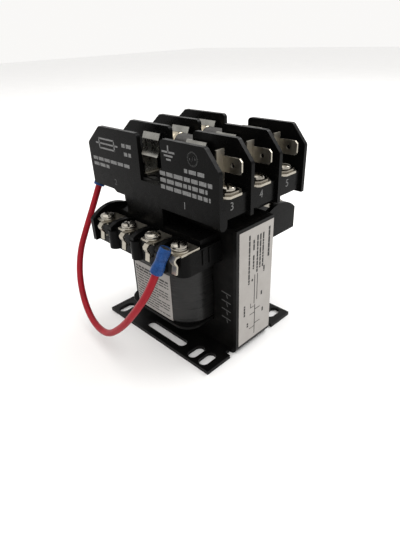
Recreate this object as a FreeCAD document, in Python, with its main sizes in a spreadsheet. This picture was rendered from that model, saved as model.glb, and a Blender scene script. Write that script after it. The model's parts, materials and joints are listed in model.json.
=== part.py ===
import FreeCAD
import Part
import math
import os
import re
import Sketcher

# Open-frame control transformer with a three-pole fuse block on top.
# Millimetres. X runs to the right, Y to the rear and Z up. The origin is the middle of the
# underside of the mounting base, between the four outer foot slots.

DIMENSIONS = {
    # mounting frame: a flat base with a strap that rises on both sides of the core
    "base_width": 76.2,
    "base_depth": 63.2,
    "sheet_gauge": 1.9,
    "frame_width": 77.4,
    "frame_top": 65.0,
    "bend_radius": 3.6,
    "relief_depth": 3.6,
    "relief_inset": 3.2,
    "slot_width": 5.2,
    "slot_length": 9.6,
    "slot_pitch_x": 63.5,
    "slot_pitch_y": 50.8,
    "inner_slot_step": 7.4,
    "long_slot_left": -11.8,
    "long_slot_right": 16.8,
    # laminated core
    "core_depth": 25.4,
    "core_height": 63.5,
    # coil: half widths across the core window (x) and from front to rear (y)
    "bobbin_wall": 1.0,
    "tube_radius": 1.0,
    "flange_thick": 1.3,
    "flange_radius": 8.5,
    "flange_step": 0.6,
    "coil_half_x": 22.9,
    "coil_half_y": 28.5,
    "coil_radius": 13.0,
    "tape_thick": 0.8,
    "layer_gap": 0.4,
    "primary_build_x": 4.2,
    "primary_build_y": 6.4,
    "primary_radius": 5.0,
    "lead_radius": 0.4,
    "lead_spread": 19.0,
    "lead_start_y": 26.5,
    "lead_reach": 1.55,
    "lead_hole_gap": 0.1,
    "lead_lift": 0.03,
    # terminal blocks, one in front of the core and the same one turned round behind it
    "terminal_pitch": 17.0,
    "terminal_row_y": 32.5,
    "block_left_x": -33.0,
    "block_right_x": 30.3,
    "block_corner": 4.5,
    "block_front_y": 37.7,
    "block_rear_y": 12.8,
    "shelf_front_y": 35.6,
    "shelf_low": 54.0,
    "shelf_top": 59.2,
    "apron_low": 49.0,
    "apron_thick": 1.8,
    "deck_front_y": 23.8,
    "deck_top": 62.0,
    "barrier_thick": 2.4,
    "barrier_top": 61.6,
    "barrier_shoulder": 0.6,
    "end_wall_top": 65.0,
    "lobe_radius": 3.2,
    "lobe_top": 58.0,
    "lobe_back": 0.6,
    "side_rib_low": 51.5,
    "side_rib_high": 58.4,
    "side_rib_width": 0.8,
    "side_rib_proud": 0.5,
    # terminal hardware
    "strip_thick": 1.0,
    "strip_half_x": 4.4,
    "strip_rear_y": 25.4,
    "tail_offset": 2.4,
    "tail_width": 2.8,
    "tail_thick": 0.8,
    "tail_lip": 3.6,
    "tail_drop": 1.8,
    "screw_shank": 1.75,
    "screw_length": 7.0,
    "screw_clear": 0.06,
    "head_radius": 3.5,
    "head_height": 2.2,
    "slot_gap": 1.1,
    "slot_deep": 1.1,
    "washer_radius": 3.5,
    "washer_thick": 0.8,
    "clamp_half": 4.0,
    "clamp_thick": 1.0,
    "clamp_corner": 1.6,
    # fuse block moulding
    "block_middle_x": -3.4,
    "wall_left": -47.2,
    "wall_right": 39.8,
    "wall_top": 100.5,
    "wall_low": 70.4,
    "wall_low_left": 71.7,
    "wall_thick": 2.0,
    "wall_first_y": -23.8,
    "wall_pitch": 18.4,
    "wall_corner_z": 92.0,
    "wall_corner_left": -36.4,
    "wall_corner_right": 32.6,
    "notch_left": -7.6,
    "notch_right": 7.5,
    "wall_round": 1.9,
    "step_left": -30.5,
    "step_right": -28.0,
    "floor_left": -45.3,
    "floor_right": 38.3,
    "floor_low": 72.0,
    "floor_top": 80.5,
    "pedestal_left": -20.7,
    "pedestal_right": 5.5,
    "body_right": 29.7,
    "body_front": -10.0,
    "body_rear": 24.0,
    "lug_depth": 4.0,
    "lug_width": 4.3,
    "lug_length": 8.6,
    "lug_z": 73.0,
    # fuse block metalwork
    "plate_thick": 1.0,
    "plate_half_y": 7.0,
    "plate_neck_y": 4.5,
    "plate_reach": 42.7,
    "plate_start": 7.0,
    "plate_chamfer": 3.6,
    "terminal_reach": 37.9,
    "riser_x": 32.9,
    "riser_top": 97.0,
    "tab_offset": 3.6,
    "tab_thick": 0.8,
    "tab_low": 88.0,
    "tab_high": 94.35,
    "tab_reach": 42.4,
    "tab_chamfer": 1.2,
    "tab_hole": 1.0,
    "tab_hole_back": 4.6,
    "riser_back": 0.5,
    "plate_step": 3.0,
    "clip_near": 8.9,
    "clip_length": 11.9,
    "clip_thick": 0.7,
    "clip_top": 97.0,
    "clip_foot": 3.4,
    "clip_bend": 48.0,
    "clip_flare": 1.3,
    "clip_straight": 3.6,
    # fuses, 13/32 by 1-1/2 inch
    "fuse_axis_z": 90.5,
    "fuse_radius": 5.15,
    "fuse_length": 38.1,
    "fuse_slack": 0.06,
    "cap_length": 11.0,
    "cap_wall": 0.45,
    "cap_end": 0.9,
    "sleeve_step": 0.15,
    "nub_radius": 3.0,
    "nub_length": 3.2,
    "tube_wall": 1.4,
    "element_radius": 0.4,
    # screws that hold the fuse block down
    "hold_screw_x": -7.6,
    "hold_screw_y": 18.8,
    "hold_sink": 2.4,
    "hold_depth": 24.5,
    "hold_hole_depth": 29.0,
    "hold_head_height": 2.0,
    "hold_head_gap": 0.1,
    "hold_slot_width": 1.0,
    "hold_slot_low": 1.1,
    # jumper wire and its two crimped ring terminals
    "wire_diameter": 3.3,
    "sleeve_radius": 2.7,
    "barrel_radius": 2.1,
    "barrel_wall": 0.45,
    "ring_radius": 4.1,
    "ring_hole": 2.0,
    "ring_thick": 0.8,
    "tongue_width": 4.0,
    "tongue_share": 0.62,
    "neck_share": 0.6,
    "neck_depth": 1.2,
    "barrel_start": 0.4,
    "sleeve_start": 0.6,
    "wire_stop": 2.0,
    # labels
    "label_thick": 0.12,
    "side_label_front": -10.9,
    "side_label_rear": 12.5,
    "side_label_low": 4.0,
    "side_label_high": 63.4,
    "coil_label_left": -14.6,
    "coil_label_right": 12.4,
    "coil_label_low": 15.9,
    "coil_label_high": 41.0,
}

# Dimensions that follow from the ones above.
CORE_WIDTH = "(frame_width - 2 * sheet_gauge)"
LEG = f"({CORE_WIDTH} / 6)"
TONGUE = f"({CORE_WIDTH} / 3)"
CORE_TOP = "(sheet_gauge + core_height)"
WINDOW_LOW = f"(sheet_gauge + {LEG})"
WINDOW_TOP = f"({CORE_TOP} - {LEG})"
PLATE_TOP = "(floor_top + plate_thick)"
STRIP_TOP = "(shelf_top + strip_thick)"
POLES = (1, 2, 3)
STATIONS = (1, 2, 3, 4)

# Two coordinates closer than this are the same place.
SAME_PLACE = 1e-6

# How far each screw's slot is turned from the one before it, in degrees.
FRONT_SCREW_TURN = 25
FUSE_SCREW_TURN = 40

# The screws that hold the fuse block down, and where each one stands from front to rear.
HOLD_SCREWS = (("front", "-hold_screw_y"), ("rear", "hold_screw_y"))

# The jumper wire's route, from the lower crimp sleeve to the upper one.
JUMPER_ROUTE = [
    (22.4, -43.2, 52.8),
    (20.6, -46.2, 44.8),
    (15.0, -49.2, 35.0),
    (3.5, -51.5, 20.0),
    (-11.0, -52.5, 8.6),
    (-29.5, -50.0, 9.2),
    (-43.5, -45.0, 21.5),
    (-51.0, -38.0, 35.0),
    (-52.3, -30.0, 48.0),
    (-51.6, -24.0, 59.2),
    (-50.5, -20.0, 68.3),
]
# Where each crimp sleeve begins, next to its ring.
LOWER_SLEEVE_END = (24.9, -38.9, 63.5)
UPPER_SLEEVE_END = (-50.0, -14.2, 79.0)
# The share of a run that the bend at each of its ends may take.
BEND_SHARE = 0.45

doc = FreeCAD.newDocument("control_transformer")
sheet = doc.addObject("Spreadsheet::Sheet", "dims")
for row, (alias, size) in enumerate(DIMENSIONS.items(), start=1):
    sheet.set(f"A{row}", alias)
    sheet.set(f"B{row}", str(size))
    sheet.setAlias(f"B{row}", alias)
doc.recompute()


# ---------------------------------------------------------------- formulas and placing


def linked(formula):
    """The formula with each dimension's name pointed at its cell."""
    return re.sub(
        r"[a-z][a-z_0-9]*",
        lambda word: f"dims.{word.group()}" if word.group() in DIMENSIONS else word.group(),
        str(formula),
    )


def number(formula):
    """The present value of a formula."""
    return float(sheet.evalExpression(linked(formula)))


def bind(item, name, formula):
    item.setExpression(name, linked(formula))


def place(item, x=0, y=0, z=0, turn=0):
    """Put an object at bound coordinates, turned about Z by so many degrees."""
    item.Placement = FreeCAD.Placement(
        FreeCAD.Vector(0, 0, 0), FreeCAD.Rotation(FreeCAD.Vector(0, 0, 1), turn)
    )
    for axis, formula in zip("xyz", (x, y, z)):
        bind(item, f"Placement.Base.{axis}", formula)
    return item


def pole_y(pole):
    """The middle of a pole's bay, counted from the front."""
    return f"(wall_first_y + {pole - 1} * wall_pitch + (wall_pitch + wall_thick) / 2)"


def station_x(station):
    """The middle of a terminal station, counted from the left."""
    return f"({station - 2.5} * terminal_pitch)"


# ---------------------------------------------------------------- primitives and booleans


def box(name, x_span, y_span, z_span):
    item = doc.addObject("Part::Box", name)
    spans = zip(("Length", "Width", "Height"), "xyz", (x_span, y_span, z_span))
    for side, axis, (low, high) in spans:
        bind(item, side, f"({high}) - ({low})")
        bind(item, f"Placement.Base.{axis}", low)
    return item


def rod(name, radius, length, x=0, y=0, z=0, axis="z"):
    """A cylinder that starts at x, y, z and runs along +X, +Y or +Z."""
    item = doc.addObject("Part::Cylinder", name)
    bind(item, "Radius", radius)
    bind(item, "Height", length)
    place(item, x, y, z)
    if axis == "x":
        item.Placement.Rotation = FreeCAD.Rotation(FreeCAD.Vector(0, 1, 0), 90)
    if axis == "y":
        item.Placement.Rotation = FreeCAD.Rotation(FreeCAD.Vector(1, 0, 0), -90)
    return item


def joined(name, pieces):
    item = doc.addObject("Part::MultiFuse", name)
    item.Shapes = pieces
    item.Refine = True
    return item


def group(name, pieces):
    item = doc.addObject("Part::Compound", name)
    item.Links = pieces
    return item


def cut(name, base, tools):
    item = doc.addObject("Part::Cut", name)
    item.Base = base
    item.Tool = tools[0] if len(tools) == 1 else group(f"{name}_tools", tools)
    return item


def shared(name, base, tool):
    item = doc.addObject("Part::Common", name)
    item.Base = base
    item.Tool = tool
    return item


def copy_of(name, master, x=0, y=0, z=0, turn=0):
    """The master's shape again, at a place of its own."""
    return place(group(name, [master]), x, y, z, turn)


# ---------------------------------------------------------------- sketched bodies


def hold(sketch, line, corner_x, corner_y):
    """Fix the start of a line of a sketch at bound coordinates."""
    for kind, formula in (("DistanceX", corner_x), ("DistanceY", corner_y)):
        index = sketch.addConstraint(
            Sketcher.Constraint(kind, -1, 1, line, 1, number(formula))
        )
        bind(sketch, f"Constraints[{index}]", formula)


def polygon(*corners):
    """A closed loop of straight lines between (x, y) corners."""

    def draw(sketch):
        first = sketch.GeometryCount
        points = [FreeCAD.Vector(number(x), number(y), 0) for x, y in corners]
        for start, end in zip(points, points[1:] + points[:1]):
            sketch.addGeometry(Part.LineSegment(start, end))
        count = len(points)
        for step in range(count):
            after = first + (step + 1) % count
            sketch.addConstraint(Sketcher.Constraint("Coincident", first + step, 2, after, 1))
        for step, (x, y) in enumerate(corners):
            hold(sketch, first + step, x, y)

    return draw


def rectangle(x_span, y_span):
    left, right = x_span
    low, high = y_span
    return polygon((left, low), (right, low), (right, high), (left, high))


def circle(x, y, radius):
    def draw(sketch):
        centre = FreeCAD.Vector(number(x), number(y), 0)
        ring = sketch.addGeometry(
            Part.Circle(centre, FreeCAD.Vector(0, 0, 1), number(radius))
        )
        index = sketch.addConstraint(Sketcher.Constraint("Radius", ring, number(radius)))
        bind(sketch, f"Constraints[{index}]", radius)
        for kind, formula in (("DistanceX", x), ("DistanceY", y)):
            index = sketch.addConstraint(
                Sketcher.Constraint(kind, -1, 1, ring, 3, number(formula))
            )
            bind(sketch, f"Constraints[{index}]", formula)

    return draw


def rounded_rectangle(half_x, half_y, radius):
    """A loop centred on the sketch's origin: four lines and four tangent corner arcs."""

    def draw(sketch):
        first = sketch.GeometryCount
        wide, tall, bend = number(half_x), number(half_y), number(radius)
        flat_x, flat_y = wide - bend, tall - bend
        ends = [
            ((-flat_x, -tall), (flat_x, -tall)),
            ((wide, -flat_y), (wide, flat_y)),
            ((flat_x, tall), (-flat_x, tall)),
            ((-wide, flat_y), (-wide, -flat_y)),
        ]
        centres = [(flat_x, -flat_y), (flat_x, flat_y), (-flat_x, flat_y), (-flat_x, -flat_y)]
        for quarter, ((start, end), centre) in enumerate(zip(ends, centres)):
            sketch.addGeometry(
                Part.LineSegment(FreeCAD.Vector(*start, 0), FreeCAD.Vector(*end, 0))
            )
            ring = Part.Circle(FreeCAD.Vector(*centre, 0), FreeCAD.Vector(0, 0, 1), bend)
            angle = (quarter - 1) * math.pi / 2
            sketch.addGeometry(Part.ArcOfCircle(ring, angle, angle + math.pi / 2))
        for step in range(8):
            after = first + (step + 1) % 8
            sketch.addConstraint(Sketcher.Constraint("Tangent", first + step, 2, after, 1))
        for quarter in range(4):
            kind = "Vertical" if quarter % 2 else "Horizontal"
            sketch.addConstraint(Sketcher.Constraint(kind, first + 2 * quarter))
        for quarter in range(1, 4):
            corner = first + 2 * quarter + 1
            sketch.addConstraint(Sketcher.Constraint("Equal", first + 1, corner))
        index = sketch.addConstraint(Sketcher.Constraint("Radius", first + 1, bend))
        bind(sketch, f"Constraints[{index}]", radius)
        sides = [
            ("DistanceY", first, f"-({half_y})"),
            ("DistanceX", first + 2, f"({half_x})"),
            ("DistanceY", first + 4, f"({half_y})"),
            ("DistanceX", first + 6, f"-({half_x})"),
        ]
        for kind, line, formula in sides:
            index = sketch.addConstraint(
                Sketcher.Constraint(kind, -1, 1, line, 1, number(formula))
            )
            bind(sketch, f"Constraints[{index}]", formula)

    return draw


def slot(x, y, length, width, along="y"):
    """A round-ended slot: two half circles joined by two lines."""

    def draw(sketch):
        first = sketch.GeometryCount
        middle = FreeCAD.Vector(number(x), number(y), 0)
        run = FreeCAD.Vector(1, 0, 0) if along == "x" else FreeCAD.Vector(0, 1, 0)
        side = FreeCAD.Vector(-run.y, run.x, 0)
        half = (number(length) - number(width)) / 2
        radius = number(width) / 2
        heading = math.atan2(run.y, run.x)
        for sign in (1, -1):
            centre = middle + run * (half * sign)
            ring = Part.Circle(centre, FreeCAD.Vector(0, 0, 1), radius)
            start = heading - sign * math.pi / 2
            sketch.addGeometry(Part.ArcOfCircle(ring, start, start + math.pi))
            edge = side * (radius * sign)
            opposite = middle - run * (half * sign)
            sketch.addGeometry(Part.LineSegment(centre + edge, opposite + edge))
        for step in range(4):
            after = first + (step + 1) % 4
            sketch.addConstraint(Sketcher.Constraint("Tangent", first + step, 2, after, 1))
        index = sketch.addConstraint(Sketcher.Constraint("Radius", first, radius))
        bind(sketch, f"Constraints[{index}]", f"({width}) / 2")
        reach = f"(({length}) - ({width})) / 2"
        for arc, sign in ((first, "+"), (first + 2, "-")):
            spots = [
                ("DistanceX", f"{x} {sign} {reach}" if along == "x" else x),
                ("DistanceY", f"{y} {sign} {reach}" if along == "y" else y),
            ]
            for kind, formula in spots:
                index = sketch.addConstraint(
                    Sketcher.Constraint(kind, -1, 1, arc, 3, number(formula))
                )
                bind(sketch, f"Constraints[{index}]", formula)

    return draw


def extruded(name, plane, start, end, *loops):
    """A body padded from start to end along the normal of XY, YZ or XZ (along Y)."""
    body = doc.addObject("PartDesign::Body", name)
    sketch = body.newObject("Sketcher::SketchObject", f"{name}_sketch")
    role = f"{plane}_Plane"
    origin = next(item for item in body.Origin.OriginFeatures if item.Role == role)
    sketch.AttachmentSupport = [(origin, "")]
    sketch.MapMode = "FlatFace"
    # the XZ plane's normal is -Y, so that sketch lies at the far end and its pad comes back
    offset = f"-({end})" if plane == "XZ" else start
    bind(sketch, "AttachmentOffset.Base.z", offset)
    for loop in loops:
        loop(sketch)
    pad = body.newObject("PartDesign::Pad", f"{name}_pad")
    pad.Profile = sketch
    bind(pad, "Length", f"({end}) - ({start})")
    return body


def rounded(body, name, radius, wanted):
    """Fillet those edges of a body's last feature for which wanted(edge) holds."""
    doc.recompute()
    base = body.Tip
    edges = [
        f"Edge{index}" for index, edge in enumerate(base.Shape.Edges, start=1) if wanted(edge)
    ]
    fillet = body.newObject("PartDesign::Fillet", name)
    fillet.Base = (base, edges)
    bind(fillet, "Radius", radius)
    return body


def runs_along(edge, axis):
    """True for a straight edge parallel to the axis numbered 0, 1 or 2."""
    start, end = edge.Vertexes[0].Point, edge.Vertexes[-1].Point
    return all(abs(start[other] - end[other]) < SAME_PLACE for other in range(3) if other != axis)


# ---------------------------------------------------------------- frame and core


def mounting_frame():
    half_base = "base_width / 2"
    half_depth = "base_depth / 2"
    half_core = "core_depth / 2"
    waist = "base_width / 2 - relief_inset"
    relief = "core_depth / 2 + relief_depth"
    corners = [
        (half_base, f"-({half_depth})"),
        (half_base, f"-({relief})"),
        (waist, f"-({relief})"),
        (waist, relief),
        (half_base, relief),
        (half_base, half_depth),
    ]
    mirrored = [(f"-({x})", y) for x, y in reversed(corners)]
    slots = []
    for end in ("-", "+"):
        row = f"({end}slot_pitch_y / 2)"
        for spot in ("-slot_pitch_x / 2", "slot_pitch_x / 2 - inner_slot_step", "slot_pitch_x / 2"):
            slots.append(slot(f"({spot})", row, "slot_length", "slot_width"))
        middle = "((long_slot_left + long_slot_right) / 2)"
        span = "(long_slot_right - long_slot_left)"
        slots.append(slot(middle, row, span, "slot_width", along="x"))
    base = extruded("frame_base", "XY", "0", "sheet_gauge", polygon(*corners, *mirrored), *slots)
    outer = "frame_width / 2"
    inner = "frame_width / 2 - sheet_gauge"
    strap = extruded(
        "frame_strap",
        "XZ",
        f"-({half_core})",
        half_core,
        polygon(
            (f"-({outer})", "0"),
            (outer, "0"),
            (outer, "frame_top"),
            (inner, "frame_top"),
            (inner, "sheet_gauge"),
            (f"-({inner})", "sheet_gauge"),
            (f"-({inner})", "frame_top"),
            (f"-({outer})", "frame_top"),
        ),
    )
    rounded(
        strap,
        "frame_bends",
        "bend_radius",
        lambda edge: runs_along(edge, 1) and abs(edge.Vertexes[0].Z) < SAME_PLACE,
    )
    return joined("mounting_frame", [base, strap])


def core():
    """An E stack with its back down and an I stack across its open end."""
    half = f"({CORE_WIDTH} / 2)"
    window = f"({half} - {LEG})"
    tongue = f"({TONGUE} / 2)"
    depth = ("-core_depth / 2", "core_depth / 2")
    right = [
        (half, "sheet_gauge"),
        (half, WINDOW_TOP),
        (window, WINDOW_TOP),
        (window, WINDOW_LOW),
        (tongue, WINDOW_LOW),
        (tongue, WINDOW_TOP),
    ]
    left = [(f"-({x})", z) for x, z in reversed(right)]
    e_stack = extruded("core_e_laminations", "XZ", *depth, polygon(*right, *left))
    i_stack = box(
        "core_i_laminations", (f"-{half}", half), depth, (WINDOW_TOP, CORE_TOP)
    )
    return [e_stack, i_stack]


# ---------------------------------------------------------------- coil


def ring_body(name, low, high, outer, inner):
    """A tube of rounded-rectangle section round the tongue of the core."""
    return extruded(name, "XY", low, high, rounded_rectangle(*outer), rounded_rectangle(*inner))


def coil():
    hole_x = f"({TONGUE} / 2)"
    hole_y = "(core_depth / 2)"
    hole = rectangle((f"-{hole_x}", hole_x), (f"-{hole_y}", hole_y))
    tube_x = f"({hole_x} + bobbin_wall)"
    tube_y = f"({hole_y} + bobbin_wall)"
    tube = extruded(
        "bobbin_tube",
        "XY",
        WINDOW_LOW,
        WINDOW_TOP,
        rounded_rectangle(tube_x, tube_y, "tube_radius"),
        hole,
    )
    low = (WINDOW_LOW, f"({WINDOW_LOW} + flange_thick)")
    high = (f"({WINDOW_TOP} - flange_thick)", WINDOW_TOP)
    wide = ("(coil_half_x + flange_step)", "(coil_half_y + flange_step)", "flange_radius")
    narrow = ("coil_half_x", "coil_half_y", "flange_radius")
    flanges = [
        extruded(name, "XY", *span, rounded_rectangle(*outline), hole)
        for name, span, outline in (("low_flange", low, wide), ("top_flange", high, narrow))
    ]
    bobbin = joined("coil_bobbin", [tube, *flanges])

    span = (low[1], high[0])
    primary_x = f"({tube_x} + primary_build_x)"
    primary_y = f"({tube_y} + primary_build_y)"
    primary = (primary_x, primary_y, "primary_radius")
    wrap = (f"({primary_x} + layer_gap)", f"({primary_y} + layer_gap)", "(primary_radius + layer_gap)")
    tape_x = "(coil_half_x - tape_thick)"
    tape_y = "(coil_half_y - tape_thick)"
    tape_radius = "(coil_radius - tape_thick)"
    layers = [
        ("primary_winding", primary, (tube_x, tube_y, "tube_radius")),
        ("winding_insulation", wrap, primary),
        ("secondary_winding", (tape_x, tape_y, tape_radius), wrap),
        (
            "coil_outer_tape",
            ("coil_half_x", "coil_half_y", "coil_radius"),
            (tape_x, tape_y, tape_radius),
        ),
    ]
    return [bobbin] + [ring_body(name, *span, outer, inner) for name, outer, inner in layers]


def coil_label():
    """A paper label that follows the front of the coil round its corners."""
    under = ("coil_half_x", "coil_half_y", "coil_radius")
    outside = [f"({size} + label_thick)" for size in under]
    sheet_ring = ring_body("label_ring", "coil_label_low", "coil_label_high", outside, under)
    window = box(
        "label_window",
        ("coil_label_left", "coil_label_right"),
        ("-coil_half_y - 1", "-coil_half_y / 2"),
        ("coil_label_low - 1", "coil_label_high + 1"),
    )
    return shared("coil_label", sheet_ring, window)


def side_label():
    face = "frame_width / 2"
    return box(
        "side_label",
        (face, f"{face} + label_thick"),
        ("side_label_front", "side_label_rear"),
        ("side_label_low", "side_label_high"),
    )


# ---------------------------------------------------------------- terminal blocks


def arch_wall(name, x_span, start_y, end_y, top, low):
    """A barrier between stations whose top edge is an arc from front to rear."""
    front, rear, peak = number(start_y), number(end_y), number(top)
    base, shoulder = number(low), number("shelf_top + barrier_shoulder")
    near = FreeCAD.Vector(0, front, shoulder)
    crest = FreeCAD.Vector(0, (front + rear) / 2, peak)
    far = FreeCAD.Vector(0, rear, shoulder)
    edges = [
        Part.Arc(near, crest, far).toShape(),
        Part.LineSegment(far, FreeCAD.Vector(0, rear, base)).toShape(),
        Part.LineSegment(FreeCAD.Vector(0, rear, base), FreeCAD.Vector(0, front, base)).toShape(),
        Part.LineSegment(FreeCAD.Vector(0, front, base), near).toShape(),
    ]
    left, right = (number(side) for side in x_span)
    item = doc.addObject("Part::Feature", name)
    item.Shape = Part.Face(Part.Wire(edges)).extrude(FreeCAD.Vector(right - left, 0, 0))
    item.Placement = FreeCAD.Placement(FreeCAD.Vector(left, 0, 0), FreeCAD.Rotation())
    return item


def lead_bar(name, station, radius):
    """A straight wire from the coil's front edge out to a station's tail."""
    outer_x = number(f"{station_x(station)} + tail_offset")
    inner_x = max(-number("lead_spread"), min(number("lead_spread"), outer_x))
    level = number(f"{WINDOW_TOP} + lead_radius + lead_lift")
    start = FreeCAD.Vector(inner_x, -number("lead_start_y"), level)
    end = FreeCAD.Vector(outer_x, -number("shelf_front_y + lead_reach"), level)
    item = doc.addObject("Part::Feature", name)
    item.Shape = round_bar(start, end, radius)
    item.Placement = FreeCAD.Placement()
    return item


def block_shell():
    """The hollow block that carries the stations: open below and behind, one corner rounded."""
    left, right, front = "block_left_x", "block_right_x", "-shelf_front_y"

    def is_front_right(edge):
        point = edge.Vertexes[0].Point
        return runs_along(edge, 2) and point.x > 0 and point.y < -number("terminal_row_y")

    outer = extruded(
        "block_outer",
        "XY",
        "apron_low",
        "shelf_top",
        rectangle((left, right), (front, "-block_rear_y")),
    )
    rounded(outer, "block_outer_corner", "block_corner", is_front_right)
    pocket = extruded(
        "block_pocket",
        "XY",
        "apron_low - 1",
        "shelf_low",
        rectangle(
            (f"{left} + apron_thick", f"{right} - apron_thick"),
            (f"{front} + apron_thick", "-block_rear_y + 1"),
        ),
    )
    rounded(pocket, "block_pocket_corner", "block_corner - apron_thick", is_front_right)
    return cut("block_shell", outer, [pocket])


def terminal_block():
    """The front block: four stations between barriers, with a tall wall at its left end."""
    pieces = [
        block_shell(),
        box(
            "block_deck",
            ("block_left_x", "block_right_x - apron_thick"),
            ("-deck_front_y", "-block_rear_y"),
            (WINDOW_TOP, "deck_top"),
        ),
        arch_wall(
            "block_end_wall",
            ("block_left_x", "block_left_x + barrier_thick"),
            "-block_front_y",
            "-block_rear_y",
            "end_wall_top",
            "apron_low",
        ),
    ]
    for name, rib_y in (("front", "-deck_front_y - side_rib_width"), ("rear", "-deck_front_y + 3")):
        pieces.append(
            box(
                f"side_rib_{name}",
                ("block_right_x - 1", "block_right_x + side_rib_proud"),
                (rib_y, f"{rib_y} + side_rib_width"),
                ("side_rib_low", "side_rib_high"),
            )
        )
    for barrier in (1, 2, 3):
        middle = f"({barrier - 2} * terminal_pitch)"
        span = (f"{middle} - barrier_thick / 2", f"{middle} + barrier_thick / 2")
        name = f"barrier_{barrier}"
        pieces.append(
            arch_wall(name, span, "-block_front_y", "-deck_front_y", "barrier_top", "shelf_low")
        )
        pieces.append(
            rod(
                f"{name}_lobe",
                "lobe_radius",
                "lobe_top - apron_low",
                middle,
                "-shelf_front_y + lobe_back",
                "apron_low",
            )
        )
    holes = [
        rod(
            f"station_hole_{station}",
            "screw_shank + 2 * screw_clear",
            "shelf_top - shelf_low + 2",
            station_x(station),
            "-terminal_row_y",
            "shelf_low - 1",
        )
        for station in STATIONS
    ]
    lead_hole = number("lead_radius + lead_hole_gap")
    holes += [lead_bar(f"lead_hole_{station}", station, lead_hole) for station in STATIONS]
    for side, sign in (("left", "+"), ("right", "-")):
        holes.append(
            rod(
                f"hold_hole_{side}",
                "screw_shank",
                "deck_top - shelf_low + 2",
                f"{sign}hold_screw_x",
                "-hold_screw_y",
                "shelf_low - 1",
            )
        )
    return cut("front_terminal_block", joined("block_moulding", pieces), holes)


def terminal_strip():
    """A station's contact: a flat plate under the screw with a tail bent down in front."""
    plate = extruded(
        "strip_plate",
        "XY",
        "shelf_top",
        STRIP_TOP,
        rectangle(("-strip_half_x", "strip_half_x"), ("-shelf_front_y", "-strip_rear_y")),
        circle("0", "-terminal_row_y", "screw_shank + screw_clear"),
    )
    lip = "-(shelf_front_y + tail_lip)"
    end = "shelf_low - tail_drop"
    tail = extruded(
        "strip_tail",
        "YZ",
        "tail_offset - tail_width / 2",
        "tail_offset + tail_width / 2",
        polygon(
            ("-shelf_front_y + 1", STRIP_TOP),
            (f"{lip} + 1.75 * tail_thick", STRIP_TOP),
            (lip, f"{STRIP_TOP} - 1.6 * tail_thick"),
            (f"{lip} + tail_thick / 4", f"{STRIP_TOP} - 3.2 * tail_thick"),
            (f"{lip} + 1.6 * tail_thick", f"{STRIP_TOP} - 5.5 * tail_thick"),
            (f"{lip} + 0.9 * tail_thick", end),
            (f"{lip} + 1.9 * tail_thick", end),
            (f"{lip} + 2.6 * tail_thick", f"{STRIP_TOP} - 5.5 * tail_thick"),
            (f"{lip} + 1.25 * tail_thick", f"{STRIP_TOP} - 3 * tail_thick"),
            (f"{lip} + 1.1 * tail_thick", f"{STRIP_TOP} - 1.9 * tail_thick"),
            (f"{lip} + 2.2 * tail_thick", f"{STRIP_TOP} - tail_thick"),
            ("-shelf_front_y + 1", f"{STRIP_TOP} - tail_thick"),
        ),
    )
    return joined("strip_master", [plate, tail])


def terminal_blocks():
    front = terminal_block()
    rear = copy_of("rear_terminal_block", front, turn=180)
    strip = terminal_strip()
    front_strips = group(
        "front_terminal_strips",
        [copy_of(f"front_strip_{station}", strip, station_x(station)) for station in STATIONS],
    )
    rear_strips = copy_of("rear_terminal_strips", front_strips, turn=180)
    leads = [lead_bar(f"lead_{station}", station, number("lead_radius")) for station in STATIONS]
    front_leads = group("front_lead_wires", leads)
    rear_leads = copy_of("rear_lead_wires", front_leads, turn=180)
    lead_wires = group("coil_lead_wires", [front_leads, rear_leads])
    return [front, rear, front_strips, rear_strips, lead_wires]


# ---------------------------------------------------------------- screws and washers


def screw_master():
    """A slotted binding-head screw whose head rests on z = 0."""
    head = rod("screw_head", "head_radius", "head_height")
    dome = doc.addObject("Part::Sphere", "screw_dome")
    bind(dome, "Radius", "2 * head_radius")
    place(dome, z="head_height - 2 * head_radius")
    domed = shared("screw_domed_head", head, dome)
    shank = rod("screw_shank_rod", "screw_shank", "screw_length", z="-screw_length")
    screw = joined("screw_solid", [domed, shank])
    gap = box(
        "screw_slot",
        ("-head_radius - 1", "head_radius + 1"),
        ("-slot_gap / 2", "slot_gap / 2"),
        ("head_height - slot_deep", "head_height + 1"),
    )
    return cut("screw_master", screw, [gap])


def washer_master():
    """A round captive washer, for the screws of the front and rear blocks."""
    return extruded(
        "washer_master",
        "XY",
        "0",
        "washer_thick",
        circle("0", "0", "washer_radius"),
        circle("0", "0", "screw_shank + screw_clear"),
    )


def clamp_master():
    """A square captive clamp plate with cut corners, for the fuse block's screws."""
    corners = []
    for x_sign, y_sign in ((1, -1), (1, 1), (-1, 1), (-1, -1)):
        full_x, full_y = f"{x_sign} * clamp_half", f"{y_sign} * clamp_half"
        short_x = f"{x_sign} * (clamp_half - clamp_corner)"
        short_y = f"{y_sign} * (clamp_half - clamp_corner)"
        pair = [(short_x, full_y), (full_x, short_y)]
        corners += pair if x_sign * y_sign < 0 else pair[::-1]
    return extruded(
        "clamp_master",
        "XY",
        "0",
        "clamp_thick",
        polygon(*corners),
        circle("0", "0", "screw_shank + screw_clear"),
    )


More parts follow.
